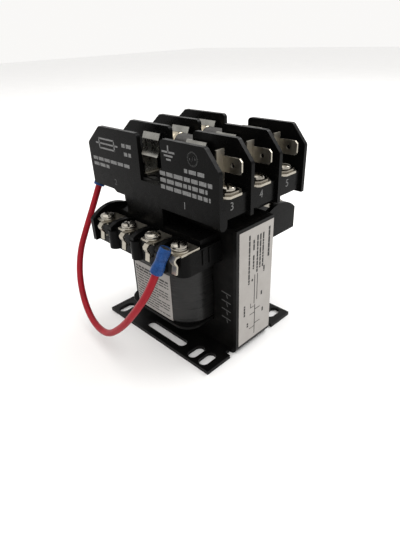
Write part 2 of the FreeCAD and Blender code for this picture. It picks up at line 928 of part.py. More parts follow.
def terminal_screws():
    """Every terminal screw with its captive washer or clamp plate, each a piece of its own."""
    screw, washer, clamp = screw_master(), washer_master(), clamp_master()
    pieces = []
    for side, sign in (("front", "-"), ("rear", "+")):
        for station in STATIONS:
            has_ring = side == "front" and station == 4
            seat = f"{STRIP_TOP} + ring_thick" if has_ring else STRIP_TOP
            spot = (station_x(station), f"{sign}terminal_row_y")
            pieces.append(copy_of(f"{side}_washer_{station}", washer, *spot, seat))
            head = f"{seat} + washer_thick"
            turn = FRONT_SCREW_TURN * station
            pieces.append(copy_of(f"{side}_screw_{station}", screw, *spot, head, turn=turn))
    for side, sign in (("left", "-"), ("right", "+")):
        for pole in POLES:
            has_ring = side == "left" and pole == 1
            seat = f"{PLATE_TOP} + ring_thick" if has_ring else PLATE_TOP
            spot = (f"block_middle_x {sign} terminal_reach", pole_y(pole))
            pieces.append(copy_of(f"{side}_clamp_plate_{pole}", clamp, *spot, seat))
            head = f"{seat} + clamp_thick"
            turn = FUSE_SCREW_TURN * pole
            pieces.append(copy_of(f"{side}_screw_{pole}", screw, *spot, head, turn=turn))
    return pieces


# ---------------------------------------------------------------- fuse block


def fuse_block_walls():
    """Four equal walls across the poles, each with a slot cut down from its top."""
    outline = [
        ("wall_left", "wall_low_left"),
        ("step_left", "wall_low_left"),
        ("step_right", "wall_low"),
        ("wall_right", "wall_low"),
        ("wall_right", "wall_corner_z"),
        ("wall_corner_right", "wall_top"),
        ("notch_right", "wall_top"),
        ("notch_right", "floor_top"),
        ("notch_left", "floor_top"),
        ("notch_left", "wall_top"),
        ("wall_corner_left", "wall_top"),
        ("wall_left", "wall_corner_z"),
    ]

    def is_upper(edge):
        return runs_along(edge, 1) and edge.Vertexes[0].Z > number("wall_corner_z - 1")

    walls = []
    for index in range(len(POLES) + 1):
        name = f"wall_{index + 1}"
        front = f"(wall_first_y + {index} * wall_pitch)"
        wall = extruded(name, "XZ", front, f"{front} + wall_thick", polygon(*outline))
        walls.append(rounded(wall, f"{name}_rounding", "wall_round", is_upper))
    return walls


def fuse_block():
    front, rear = "wall_first_y", "wall_first_y + 3 * wall_pitch + wall_thick"
    under = (CORE_TOP, "floor_low + 1")
    foot = ("deck_top", CORE_TOP)
    narrow = ("pedestal_left", "pedestal_right")
    pieces = fuse_block_walls()
    for name, *spans in (
        ("block_floor", ("floor_left", "floor_right"), (front, rear), ("floor_low", "floor_top")),
        ("pedestal", narrow, (front, "body_front + 1"), under),
        ("pedestal_foot", narrow, (front, "-block_rear_y"), foot),
        ("lower_body", ("pedestal_left", "body_right"), ("body_front", "body_rear"), under),
        ("rear_foot", narrow, ("block_rear_y", "body_rear"), foot),
    ):
        pieces.append(box(name, *spans))
    lug = slot("(wall_first_y + lug_width / 2)", "lug_z", "lug_length", "lug_width")
    pieces.append(extruded("corner_lug", "YZ", "wall_right - lug_depth", "wall_right", lug))
    body = joined("fuse_block_moulding", pieces)
    tools = []
    for pole in POLES:
        for side, sign in (("left", "-"), ("right", "+")):
            tools.append(
                rod(
                    f"{side}_hole_{pole}",
                    "screw_shank + 2 * screw_clear",
                    "screw_length + 1",
                    f"block_middle_x {sign} terminal_reach",
                    pole_y(pole),
                    "floor_top - screw_length",
                )
            )
    for name, spot_y in HOLD_SCREWS:
        spot = ("hold_screw_x", spot_y)
        shaft_low = "floor_top - hold_hole_depth"
        seat = "floor_top - hold_sink"
        seat_radius = "head_radius + hold_head_gap"
        tools.append(
            rod(f"hold_shaft_{name}", "screw_shank", "hold_hole_depth + 1", *spot, shaft_low)
        )
        tools.append(rod(f"hold_seat_{name}", seat_radius, "hold_sink + 1", *spot, seat))
    return cut("fuse_block_body", body, tools)


def hold_down_screws():
    """The two screws that pass through the fuse block into the terminal blocks."""
    screws = []
    seat = "floor_top - hold_sink"
    for name, spot_y in HOLD_SCREWS:
        spot = ("hold_screw_x", spot_y)
        head = rod(f"hold_head_{name}", "head_radius", "hold_head_height", *spot, seat)
        tip = f"{seat} - hold_depth"
        shank = rod(f"hold_rod_{name}", "screw_shank", "hold_depth", *spot, tip)
        gap = box(
            f"hold_slot_{name}",
            ("hold_screw_x - head_radius - 1", "hold_screw_x + head_radius + 1"),
            (f"{spot_y} - hold_slot_width / 2", f"{spot_y} + hold_slot_width / 2"),
            (f"{seat} + hold_slot_low", f"{seat} + hold_head_height + 1"),
        )
        solid = joined(f"hold_solid_{name}", [head, shank])
        screws.append(cut(f"hold_screw_{name}", solid, [gap]))
    return group("fuse_block_screws", screws)


def clip_master():
    """A U-shaped spring clip round the fuse axis, which runs along X at z = 0."""
    reach, gauge = number("fuse_radius + fuse_slack"), number("clip_thick")
    foot = number(f"{PLATE_TOP} - fuse_axis_z")
    top, half_foot = number("clip_top - fuse_axis_z"), number("clip_foot")
    bend = math.radians(number("clip_bend"))
    inner_foot = number("clip_thick") * 0.6

    def side_points(offset, low):
        radius = reach + offset
        hug = FreeCAD.Vector(0, radius * math.cos(bend), -radius * math.sin(bend))
        knee = FreeCAD.Vector(0, radius * math.cos(bend / 2), -radius * math.sin(bend / 2))
        level = FreeCAD.Vector(0, radius, 0)
        straight = FreeCAD.Vector(0, radius, number("clip_straight"))
        flare = FreeCAD.Vector(0, radius + number("clip_flare"), top)
        return [FreeCAD.Vector(0, half_foot, low), hug, knee, level, straight, flare]

    def mirrored(point):
        return FreeCAD.Vector(0, -point.y, point.z)

    inner = side_points(0, foot + gauge)
    outer = side_points(gauge, foot)
    outer[0] = FreeCAD.Vector(0, half_foot + inner_foot, foot)

    def leaf(points):
        return [
            Part.LineSegment(points[0], points[1]).toShape(),
            Part.Arc(points[1], points[2], points[3]).toShape(),
            Part.LineSegment(points[3], points[4]).toShape(),
            Part.LineSegment(points[4], points[5]).toShape(),
        ]

    inner_left = [mirrored(point) for point in inner]
    outer_left = [mirrored(point) for point in outer]
    edges = leaf(inner) + leaf(outer) + leaf(inner_left) + leaf(outer_left)
    for start, end in (
        (inner[5], outer[5]),
        (inner_left[5], outer_left[5]),
        (inner[0], inner_left[0]),
        (outer[0], outer_left[0]),
    ):
        edges.append(Part.LineSegment(start, end).toShape())
    wire = Part.Wire(Part.__sortEdges__(edges))
    item = doc.addObject("Part::Feature", "clip_master")
    item.Shape = Part.Face(wire).extrude(FreeCAD.Vector(number("clip_length"), 0, 0))
    item.Placement = FreeCAD.Placement()
    return item


def fuse_terminal_master():
    """A fuse terminal for the right end: a plate on the floor, a riser and a push-on tab.

    Its X is counted from the middle of the block and its Y from the middle of the pole.
    """
    screw_hole = circle("terminal_reach", "0", "screw_shank + screw_clear")
    plate = extruded(
        "terminal_plate",
        "XY",
        "floor_top",
        PLATE_TOP,
        polygon(
            ("plate_start", "-plate_neck_y"),
            ("riser_x - plate_step", "-plate_neck_y"),
            ("riser_x - plate_step", "-plate_half_y"),
            ("plate_reach - plate_chamfer", "-plate_half_y"),
            ("plate_reach", "-plate_half_y + plate_chamfer"),
            ("plate_reach", "plate_half_y - plate_chamfer"),
            ("plate_reach - plate_chamfer", "plate_half_y"),
            ("riser_x - plate_step", "plate_half_y"),
            ("riser_x - plate_step", "plate_neck_y"),
            ("plate_start", "plate_neck_y"),
        ),
        screw_hole,
    )
    riser = box(
        "terminal_riser",
        ("riser_x - tab_thick", "riser_x"),
        ("-riser_back", "tab_offset + tab_thick / 2"),
        ("floor_top", "riser_top"),
    )
    tab = extruded(
        "terminal_tab",
        "XZ",
        "tab_offset - tab_thick / 2",
        "tab_offset + tab_thick / 2",
        polygon(
            ("riser_x - tab_thick", "tab_low"),
            ("tab_reach - tab_chamfer", "tab_low"),
            ("tab_reach", "tab_low + tab_chamfer"),
            ("tab_reach", "tab_high - tab_chamfer"),
            ("tab_reach - tab_chamfer", "tab_high"),
            ("riser_x - tab_thick", "tab_high"),
        ),
        circle("tab_reach - tab_hole_back", "(tab_low + tab_high) / 2", "tab_hole"),
    )
    return joined("fuse_terminal_master", [plate, riser, tab])


def fuse_block_metal():
    clip = clip_master()
    terminal = fuse_terminal_master()
    right_clips, left_clips, right_terminals, left_terminals = [], [], [], []
    for pole in POLES:
        middle = pole_y(pole)
        near = ("block_middle_x + clip_near", middle, "fuse_axis_z")
        far = ("block_middle_x - clip_near - clip_length", middle, "fuse_axis_z")
        right_clips.append(copy_of(f"right_clip_{pole}", clip, *near))
        left_clips.append(copy_of(f"left_clip_{pole}", clip, *far))
        spot = (terminal, "block_middle_x", middle)
        right_terminals.append(copy_of(f"right_terminal_{pole}", *spot))
        left_terminals.append(copy_of(f"left_terminal_{pole}", *spot, turn=180))
    return [
        group("left_fuse_clips", left_clips),
        group("right_fuse_clips", right_clips),
        group("left_fuse_terminals", left_terminals),
        group("right_fuse_terminals", right_terminals),
    ]


# ---------------------------------------------------------------- fuses


def fuses():
    """The cartridge fuses of poles 2 and 3. A fuse's own origin is the middle of its axis."""
    half = "(fuse_length / 2)"
    bore = "(fuse_radius - cap_wall)"
    body_end = f"({half} - nub_length)"
    caps = []
    for side, sign, end in (("left", "-", half), ("right", "+", body_end)):
        start = f"-{half}" if side == "left" else f"{end} - cap_length + nub_length"
        length = "cap_length" if side == "left" else "cap_length - nub_length"
        shell = rod(f"{side}_cap_shell", "fuse_radius", length, start, axis="x")
        cavity_start = f"-{half} + cap_end" if side == "left" else f"{start} - 1"
        cavity_length = "cap_length" if side == "left" else f"{length} + 1 - cap_end"
        cavity = rod(f"{side}_cap_cavity", bore, cavity_length, cavity_start, axis="x")
        caps.append(cut(f"{side}_cap", shell, [cavity]))
    nub = rod("cap_nub", "nub_radius", "nub_length", body_end, axis="x")
    caps[1] = joined("right_cap_with_nub", [caps[1], nub])
    cap_pair = group("cap_pair", caps)

    tube_start = f"-{half} + cap_end"
    tube_length = "fuse_length - nub_length - 2 * cap_end"
    outside = rod("tube_outside", bore, tube_length, tube_start, axis="x")
    sleeve_start = f"-{half} + cap_length"
    sleeve_length = "fuse_length - 2 * cap_length"
    sleeve = rod("tube_sleeve", "fuse_radius - sleeve_step", sleeve_length, sleeve_start, axis="x")
    inside = rod("tube_inside", f"{bore} - tube_wall", "fuse_length", f"-{half}", axis="x")
    tube = cut("tube_master", joined("tube_solid", [outside, sleeve]), [inside])
    element = rod("element_master", "element_radius", tube_length, tube_start, axis="x")

    pieces = []
    for pole in POLES[1:]:
        spot = ("block_middle_x", pole_y(pole), "fuse_axis_z")
        pieces.append(copy_of(f"fuse_{pole}_tube", tube, *spot))
        pieces.append(copy_of(f"fuse_{pole}_end_caps", cap_pair, *spot))
        pieces.append(copy_of(f"fuse_{pole}_element", element, *spot))
    return pieces


# ---------------------------------------------------------------- jumper wire


def tube_path(points):
    """Straight runs joined by tangent arcs, each as large as its two runs allow."""
    route = [FreeCAD.Vector(*point) for point in points]
    edges, radii, position = [], [], route[0]
    for before, corner, after in zip(route, route[1:], route[2:]):
        toward, away = (before - corner), (after - corner)
        shorter = min(toward.Length, away.Length)
        toward.normalize()
        away.normalize()
        turn = math.pi - toward.getAngle(away)
        setback = BEND_SHARE * shorter
        radii.append(setback / math.tan(turn / 2))
        enter, leave = corner + toward * setback, corner + away * setback
        middle = (toward + away).normalize()
        bow = math.hypot(radii[-1], setback) - radii[-1]
        edges.append(Part.LineSegment(position, enter).toShape())
        edges.append(Part.Arc(enter, corner + middle * bow, leave).toShape())
        position = leave
    edges.append(Part.LineSegment(position, route[-1]).toShape())
    return Part.Wire(edges), radii


def round_bar(start, end, radius):
    """A cylinder shape from one point to another."""
    axis = end - start
    return Part.makeCylinder(radius, axis.Length, start, axis)


def jumper_wire():
    path, radii = tube_path(JUMPER_ROUTE)
    radius = number("wire_diameter") / 2
    start = FreeCAD.Vector(*JUMPER_ROUTE[0])
    heading = FreeCAD.Vector(*JUMPER_ROUTE[1]) - start
    section = Part.Wire(Part.makeCircle(radius, start, heading))
    item = doc.addObject("Part::Feature", "jumper_wire")
    item.Shape = path.makePipeShell([section], True, True)
    item.Placement = FreeCAD.Placement()
    expected = math.pi * radius**2 * path.Length
    print("jumper length", round(path.Length, 1), "smallest radius", round(min(radii), 1))
    print("jumper volume", round(item.Shape.Volume, 1), "expected", round(expected, 1))
    return item


def ring_terminal(name, hole_at, crimp_start, crimp_end):
    """A ring, a tongue and a crimp barrel round the wire's end, with an insulating sleeve."""
    hole = FreeCAD.Vector(*(number(value) for value in hole_at))
    top, bottom = FreeCAD.Vector(*crimp_start), FreeCAD.Vector(*crimp_end)
    axis = (bottom - top).normalize()
    thick = number("ring_thick")

    def along(distance):
        return top + axis * number(distance)

    def flat(corners):
        face = Part.Face(Part.makePolygon(corners + corners[:1]))
        return face.extrude(FreeCAD.Vector(0, 0, thick))

    away = FreeCAD.Vector(top.x - hole.x, top.y - hole.y, 0)
    knee = hole + away * number("tongue_share")
    away.normalize()
    across = FreeCAD.Vector(-away.y, away.x, 0) * number("tongue_width / 2")
    narrow = across * number("neck_share")
    joint = along("neck_depth")
    ring = Part.makeCylinder(number("ring_radius"), thick, hole)
    tongue = flat([hole + across, knee + across, knee - across, hole - across])
    neck = flat([knee + across, joint + narrow, joint - narrow, knee - across])
    barrel = round_bar(along("barrel_start"), bottom, number("barrel_radius"))
    hole_tool = Part.makeCylinder(number("ring_hole"), 2 * thick, hole)
    wire_space = round_bar(along("wire_stop"), bottom + axis, number("barrel_radius - barrel_wall"))
    metal = doc.addObject("Part::Feature", f"{name}_ring_terminal")
    metal.Shape = ring.fuse([tongue, neck, barrel]).removeSplitter().cut([hole_tool, wire_space])
    metal.Placement = FreeCAD.Placement()
    outside = round_bar(along("sleeve_start"), bottom, number("sleeve_radius"))
    inside = round_bar(top, bottom + axis, number("barrel_radius"))
    sleeve = doc.addObject("Part::Feature", f"{name}_crimp_sleeve")
    sleeve.Shape = outside.cut([inside, metal.Shape])
    sleeve.Placement = FreeCAD.Placement()
    return [metal, sleeve]


def jumper():
    lower_hole = (station_x(4), "-terminal_row_y", STRIP_TOP)
    upper_hole = ("block_middle_x - terminal_reach", pole_y(1), PLATE_TOP)
    return [
        jumper_wire(),
        *ring_terminal("lower", lower_hole, LOWER_SLEEVE_END, JUMPER_ROUTE[0]),
        *ring_terminal("upper", upper_hole, UPPER_SLEEVE_END, JUMPER_ROUTE[-1]),
    ]


# ---------------------------------------------------------------- the whole part


def main():
    nodes = [
        mounting_frame(),
        *core(),
        *coil(),
        coil_label(),
        side_label(),
        *terminal_blocks(),
        *terminal_screws(),
        fuse_block(),
        hold_down_screws(),
        *fuse_block_metal(),
        *fuses(),
        *jumper(),
    ]
    doc.recompute()
    for item in doc.Objects:
        if "Invalid" in item.State or "Error" in item.State:
            raise RuntimeError(f"{item.Name} did not compute: {item.State}")
    os.makedirs("parts", exist_ok=True)
    for node in nodes:
        node.Label = node.Name
        if node.Shape.isNull() or not node.Shape.isValid():
            raise RuntimeError(f"{node.Name} has no valid shape")
        node.Shape.exportStep(f"parts/{node.Label}.step")
    print(len(nodes), "parts written")


main()
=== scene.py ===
import bmesh
import bpy
import json
import math
import random
from mathutils import Matrix, Vector


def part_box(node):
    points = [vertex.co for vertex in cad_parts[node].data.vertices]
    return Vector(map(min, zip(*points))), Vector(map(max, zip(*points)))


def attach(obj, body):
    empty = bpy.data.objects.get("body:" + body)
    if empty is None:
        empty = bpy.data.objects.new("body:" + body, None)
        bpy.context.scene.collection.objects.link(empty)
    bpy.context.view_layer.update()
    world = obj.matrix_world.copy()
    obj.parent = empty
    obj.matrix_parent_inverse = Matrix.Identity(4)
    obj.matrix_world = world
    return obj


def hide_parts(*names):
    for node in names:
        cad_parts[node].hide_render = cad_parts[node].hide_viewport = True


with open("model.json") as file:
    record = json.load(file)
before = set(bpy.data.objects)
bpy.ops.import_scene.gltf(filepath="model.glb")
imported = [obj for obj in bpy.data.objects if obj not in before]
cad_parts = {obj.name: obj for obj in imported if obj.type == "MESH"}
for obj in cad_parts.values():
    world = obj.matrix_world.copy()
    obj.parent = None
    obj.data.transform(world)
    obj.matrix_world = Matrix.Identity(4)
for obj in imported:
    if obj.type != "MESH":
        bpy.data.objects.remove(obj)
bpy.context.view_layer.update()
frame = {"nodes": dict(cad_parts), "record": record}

MM = 0.001
NODES = frame["nodes"]
SLOT_OF = {entry["node"]: entry["material_slot"] for entry in frame["record"]["subparts"]}
BODY_OF = {
    node: body
    for body, nodes in frame["record"]["behaviour"]["bodies"].items()
    for node in nodes
}


# ---------------------------------------------------------------- camera

# solved from the edges of the object in the photo: metres, degrees and millimetres
CAMERA_PLACE = (0.13998, -0.13079, 0.13683)
CAMERA_AZIMUTH = 46.34
CAMERA_ELEVATION = 29.32
CAMERA_ROLL = -2.46
CAMERA_LENS = 28.24
CAMERA_SENSOR = 36
CAMERA_NEAR = 0.005


def make_camera():
    data = bpy.data.cameras.new("photo_camera")
    data.lens = CAMERA_LENS
    data.sensor_width = CAMERA_SENSOR
    data.clip_start = CAMERA_NEAR
    camera = bpy.data.objects.new("photo_camera", data)
    bpy.context.scene.collection.objects.link(camera)
    azimuth, elevation = math.radians(CAMERA_AZIMUTH), math.radians(CAMERA_ELEVATION)
    back = Vector(
        (
            math.sin(azimuth) * math.cos(elevation),
            -math.cos(azimuth) * math.cos(elevation),
            math.sin(elevation),
        )
    )
    level = Vector((0, 0, 1)).cross(back).normalized()
    upright = back.cross(level)
    roll = math.radians(CAMERA_ROLL)
    right = math.cos(roll) * level + math.sin(roll) * upright
    up = -math.sin(roll) * level + math.cos(roll) * upright
    turn = Matrix((right, up, back)).transposed().to_4x4()
    camera.matrix_world = Matrix.Translation(CAMERA_PLACE) @ turn
    bpy.context.scene.camera = camera
    bpy.context.scene.view_settings.view_transform = "Standard"


make_camera()


# ---------------------------------------------------------------- materials

# the values that most of a noise texture lies between, and the phase in radians that a wave texture
# of scale 1 gains over one unit
NOISE_RANGE = (0.3, 0.7)
WAVE_PHASE = 20


class Look:
    """A Principled material whose colour, roughness and relief vary over the object."""

    def __init__(self, name, **sockets):
        self.material = bpy.data.materials.new(name)
        self.material.use_nodes = True
        self.tree = self.material.node_tree
        self.shader = next(node for node in self.tree.nodes if node.type == "BSDF_PRINCIPLED")
        self.place = self.tree.nodes.new("ShaderNodeTexCoord").outputs["Object"]
        self.height = None
        for socket, value in sockets.items():
            self.shader.inputs[socket.replace("_", " ")].default_value = value

    def noise(self, size_mm, detail=4.0, stretch=(1, 1, 1)):
        """Noise with grains about size_mm across, longer along an axis with a smaller stretch."""
        mapping = self.tree.nodes.new("ShaderNodeMapping")
        mapping.inputs["Scale"].default_value = stretch
        self.tree.links.new(self.place, mapping.inputs["Vector"])
        texture = self.tree.nodes.new("ShaderNodeTexNoise")
        texture.inputs["Scale"].default_value = 1 / (size_mm * MM)
        texture.inputs["Detail"].default_value = detail
        self.tree.links.new(mapping.outputs["Vector"], texture.inputs["Vector"])
        return texture.outputs["Fac"]

    def bands(self, period_mm, axis):
        """Even bands across one axis."""
        texture = self.tree.nodes.new("ShaderNodeTexWave")
        texture.wave_type = "BANDS"
        texture.bands_direction = axis
        texture.wave_profile = "SIN"
        texture.inputs["Scale"].default_value = 2 * math.pi / (WAVE_PHASE * period_mm * MM)
        self.tree.links.new(self.place, texture.inputs["Vector"])
        return texture.outputs["Fac"]

    def span(self, source, low, high):
        """The usual range of a noise, spread over low to high."""
        node = self.tree.nodes.new("ShaderNodeMapRange")
        node.inputs["From Min"].default_value, node.inputs["From Max"].default_value = NOISE_RANGE
        node.inputs["To Min"].default_value = low
        node.inputs["To Max"].default_value = high
        self.tree.links.new(source, node.inputs["Value"])
        return node.outputs["Result"]

    def colour(self, source, *stops):
        """Base colour from a ramp of two (position, colour) stops over the source."""
        ramp = self.tree.nodes.new("ShaderNodeValToRGB")
        for element, (position, colour) in zip(ramp.color_ramp.elements, stops):
            element.position = position
            element.color = (*colour, 1)
        self.tree.links.new(source, ramp.inputs["Fac"])
        self.tree.links.new(ramp.outputs["Color"], self.shader.inputs["Base Color"])
        return self

    def roughness(self, source, low, high):
        self.tree.links.new(self.span(source, low, high), self.shader.inputs["Roughness"])
        return self

    def bump(self, source, height_mm, strength=1.0):
        """Adds relief of so many millimetres, on top of any relief there already."""
        node = self.tree.nodes.new("ShaderNodeBump")
        node.inputs["Distance"].default_value = height_mm * MM
        node.inputs["Strength"].default_value = strength
        self.tree.links.new(source, node.inputs["Height"])
        if self.height:
            self.tree.links.new(self.height, node.inputs["Normal"])
        self.height = node.outputs["Normal"]
        self.tree.links.new(self.height, self.shader.inputs["Normal"])
        return self


def grey(level, warmth=0.0):
    """A neutral colour, a little warmer or cooler."""
    return (level * (1 + warmth), level, level * (1 - warmth))


def moulded_plastic(name, level, low, high):
    look = Look(name, Specular_IOR_Level=0.06)
    look.colour(look.noise(9), (0.35, grey(level)), (0.7, grey(level * 1.6, 0.03)))
    look.roughness(look.noise(3), low, high)
    look.bump(look.noise(0.35, 2), 0.02, 0.4)
    return look.material


def black_paint():
    look = Look("black_paint", Specular_IOR_Level=0.10)
    look.colour(look.noise(6), (0.4, grey(0.0022)), (0.75, grey(0.0045, 0.04)))
    look.roughness(look.noise(2.5), 0.28, 0.46)
    look.bump(look.noise(0.7, 3), 0.03, 0.6)
    return look.material


def laminations():
    """Varnished steel sheets stacked along Y: fine lines across every face but the end ones."""
    look = Look("laminations", Specular_IOR_Level=0.06)
    look.colour(look.noise(5), (0.35, grey(0.0018)), (0.8, grey(0.005, 0.08)))
    look.roughness(look.noise(1.5), 0.3, 0.55)
    look.bump(look.noise(2.0, 4), 0.05, 0.5)
    look.bump(look.bands(0.6, "Y"), 0.12, 0.8)
    return look.material


def wound_tape():
    look = Look("wound_tape", Specular_IOR_Level=0.25, Coat_Weight=0.08, Coat_Roughness=0.28)
    look.colour(look.noise(7), (0.3, grey(0.005)), (0.75, grey(0.011, 0.03)))
    look.roughness(look.noise(4, 3, (1, 1, 3)), 0.28, 0.42)
    look.bump(look.noise(1.6, 4, (0.5, 0.5, 3)), 0.08, 0.7)
    return look.material


def metal(name, colour, low, high, grain=(1, 1, 1), stain=0.75):
    """Plated metal with a fine grain and wide, soft patches of stain."""
    look = Look(name, Metallic=1.0)
    dull = tuple(channel * stain for channel in colour)
    look.colour(look.noise(5, 2), (0.3, dull), (0.7, colour))
    look.roughness(look.noise(1.6, 3, grain), low, high)
    look.bump(look.noise(0.5, 2, grain), 0.004, 0.4)
    return look.material


def winding():
    look = Look("copper_winding", Metallic=0.8)
    look.colour(look.bands(0.5, "Z"), (0.2, (0.25, 0.09, 0.03)), (0.7, (0.6, 0.26, 0.11)))
    look.roughness(look.noise(1), 0.2, 0.35)
    look.bump(look.bands(0.5, "Z"), 0.1)
    return look.material


def film():
    look = Look("insulation_film", Specular_IOR_Level=0.5)
    look.colour(look.noise(3), (0.3, (0.5, 0.36, 0.10)), (0.7, (0.62, 0.47, 0.17)))
    look.roughness(look.noise(2), 0.2, 0.35)
    return look.material


def paper(name, level):
    look = Look(name, Specular_IOR_Level=0.3)
    look.colour(look.noise(6, 5), (0.3, grey(level * 0.9, 0.06)), (0.7, grey(level, 0.05)))
    look.roughness(look.noise(1), 0.45, 0.6)
    look.bump(look.noise(0.25, 3), 0.01, 0.5)
    return look.material


def ink(name, level):
    look = Look(name, Specular_IOR_Level=0.3)
    look.colour(look.noise(0.6, 3), (0.25, grey(level * 0.55)), (0.6, grey(level)))
    look.roughness(look.noise(1), 0.5, 0.7)
    return look.material


def red_insulation():
    look = Look("red_insulation", Specular_IOR_Level=0.16)
    look.colour(look.noise(4), (0.3, (0.22, 0.004, 0.010)), (0.7, (0.30, 0.006, 0.015)))
    look.roughness(look.noise(1.5), 0.32, 0.44)
    look.bump(look.noise(1.2, 3), 0.03, 0.5)
    return look.material


def blue_vinyl():
    look = Look("blue_vinyl", Specular_IOR_Level=0.2)
    look.colour(look.noise(2), (0.3, (0.003, 0.030, 0.12)), (0.7, (0.008, 0.055, 0.20)))
    look.roughness(look.noise(1), 0.22, 0.36)
    look.bump(look.noise(1.4, 2), 0.05, 0.5)
    return look.material


def fuse_laminate():
    look = Look("fuse_laminate", Specular_IOR_Level=0.45)
    look.colour(look.noise(1.2, 4, (0.3, 1, 1)), (0.3, grey(0.02)), (0.7, grey(0.045, 0.1)))
    look.roughness(look.noise(1), 0.35, 0.5)
    look.bump(look.noise(0.5, 3, (0.3, 1, 1)), 0.02, 0.5)
    return look.material


ZINC = metal("zinc_plate", (0.40, 0.375, 0.33), 0.16, 0.28, stain=0.6)
CLAMP = metal("clamp_zinc", (0.24, 0.22, 0.185), 0.2, 0.34)
TIN = metal("tin_plate", (0.42, 0.39, 0.33), 0.30, 0.44, (1, 1, 0.3), 0.85)
SPRING = metal("spring_clip", (0.33, 0.325, 0.30), 0.22, 0.34, (1, 0.4, 0.4), 0.7)
CAP = metal("fuse_cap", (0.52, 0.46, 0.35), 0.12, 0.24, (0.4, 1, 1))
DARK_ZINC = metal("dark_zinc", (0.06, 0.06, 0.06), 0.35, 0.5)
PRINT = ink("light_print", 0.17)
FAINT_PRINT = ink("faint_print", 0.06)
TEXT_INK = ink("label_ink", 0.02)

# the material of each slot, and how far its edges are rounded in millimetres
LOOKS = {
    "frame_paint": (black_paint(), 0.25),
    "core_varnish": (laminations(), 0.15),
    "bobbin_plastic": (moulded_plastic("bobbin_nylon", 0.0035, 0.35, 0.5), 0.2),
    "copper_winding": (winding(), 0),
    "tinned_lead": (TIN, 0),
    "insulation_film": (film(), 0),
    "coil_tape": (wound_tape(), 0),
    "terminal_moulding": (moulded_plastic("terminal_moulding", 0.002, 0.24, 0.40), 0.3),
    "block_moulding": (moulded_plastic("block_moulding", 0.0016, 0.22, 0.38), 0.35),
    "plated_contact": (TIN, 0.18),
    "spring_clip": (SPRING, 0.12),
    "hold_screw": (DARK_ZINC, 0.15),
    "ring_metal": (TIN, 0.12),
    "blue_sleeve": (blue_vinyl(), 0),
    "red_wire": (red_insulation(), 0),
    "side_label_paper": (paper("side_label_paper", 0.36), 0),
    "coil_label_paper": (paper("coil_label_paper", 0.28), 0),
    "fuse_tube": (fuse_laminate(), 0),
    "fuse_cap": (CAP, 0),
    "fuse_element": (TIN, 0),
    "washer_plate": (ZINC, 0.1),
    "clamp_plate": (CLAMP, 0.2),
    "terminal_screw": (ZINC, 0),
}


# ---------------------------------------------------------------- helpers


def paint(piece, material):
    piece.data.materials.clear()
    piece.data.materials.append(material)


def add_piece(name, mesh, material, body="root", slot=None, stands_for=()):
    """Puts a new mesh or curve into the scene, riding on its body."""
    piece = bpy.data.objects.new(name, mesh)
    bpy.context.scene.collection.objects.link(piece)
    paint(piece, material)
    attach(piece, body)
    if stands_for:
        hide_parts(*stands_for)
        slot = slot or SLOT_OF[stands_for[0]]
    return piece


def finished(bm, name, smooth=True, angle=35):
    """A mesh from a bmesh, smooth except across edges sharper than the angle."""
    bmesh.ops.recalc_face_normals(bm, faces=bm.faces)
    mesh = bpy.data.meshes.new(name)
    bm.to_mesh(mesh)
    bm.free()
    if smooth:
        mesh.shade_smooth()
        mesh.set_sharp_from_angle(angle=math.radians(angle))
    return mesh


def middle(node):
    low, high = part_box(node)
    return (Vector(low) + Vector(high)) / 2


def settled(item):
    """A new mesh of an object as it is with its modifiers, or of a text."""
    bpy.context.view_layer.update()
    return bpy.data.meshes.new_from_object(
        item.evaluated_get(bpy.context.evaluated_depsgraph_get())
    )


def loops(bm, rings, closed=False):
    """Skins a list of equally long vertex rings, and caps the two end rings unless closed."""
    made = [[bm.verts.new(point) for point in ring] for ring in rings]
    pairs = list(zip(made, made[1:] + made[:1])) if closed else list(zip(made, made[1:]))
    for below, above in pairs:
        for step in range(len(below)):
            after = (step + 1) % len(below)
            bm.faces.new((below[step], below[after], above[after], above[step]))
    if not closed:
        bm.faces.new(list(reversed(made[0])))
        bm.faces.new(made[-1])


def turned(radius, height, angle):
    return Vector((radius * math.cos(angle), radius * math.sin(angle), height))


def in_metres(profile):
    return [(radius * MM, height * MM) for radius, height in profile]


def lathe(bm, profile, place, steps=56, closed=False, dent=None):
    """Turns (radius, height) points about the Z axis of the place, pressed in by the dent."""
    rings = []
    for radius, height in profile:
        ring = []
        for step in range(steps):
            angle = 2 * math.pi * step / steps
            pressed = dent(radius, height, angle) if dent else 0
            ring.append(place @ turned(radius - pressed, height, angle))
        rings.append(ring)
    loops(bm, rings, closed)


def axis_place(origin, direction):
    """A matrix whose Z axis points along the direction from the origin."""
    turn = Vector(direction).to_track_quat("Z", "Y").to_matrix().to_4x4()
    return Matrix.Translation(origin) @ turn


# the corners of each face of a block, numbered by side, then lift, then face
BLOCK_FACES = (
    (0, 1, 3, 2),
    (4, 6, 7, 5),
    (0, 4, 5, 1),
    (2, 3, 7, 6),
    (0, 2, 6, 4),
    (1, 5, 7, 3),
)


def block(bm, centre, across, up, width, height, depth):
    """A small closed box centred on a point, depth thick along across x up."""
    across, up = Vector(across).normalized(), Vector(up).normalized()
    out = across.cross(up)
    corners = []
    for side in (-1, 1):
        for lift in (-1, 1):
            for face in (-1, 1):
                corners.append(
                    bm.verts.new(
                        Vector(centre)
                        + across * (side * width / 2)
                        + up * (lift * height / 2)
                        + out * (face * depth / 2)
                    )
                )
    for face in BLOCK_FACES:
        bm.faces.new([corners[index] for index in face])


# ---------------------------------------------------------------- jumper wire

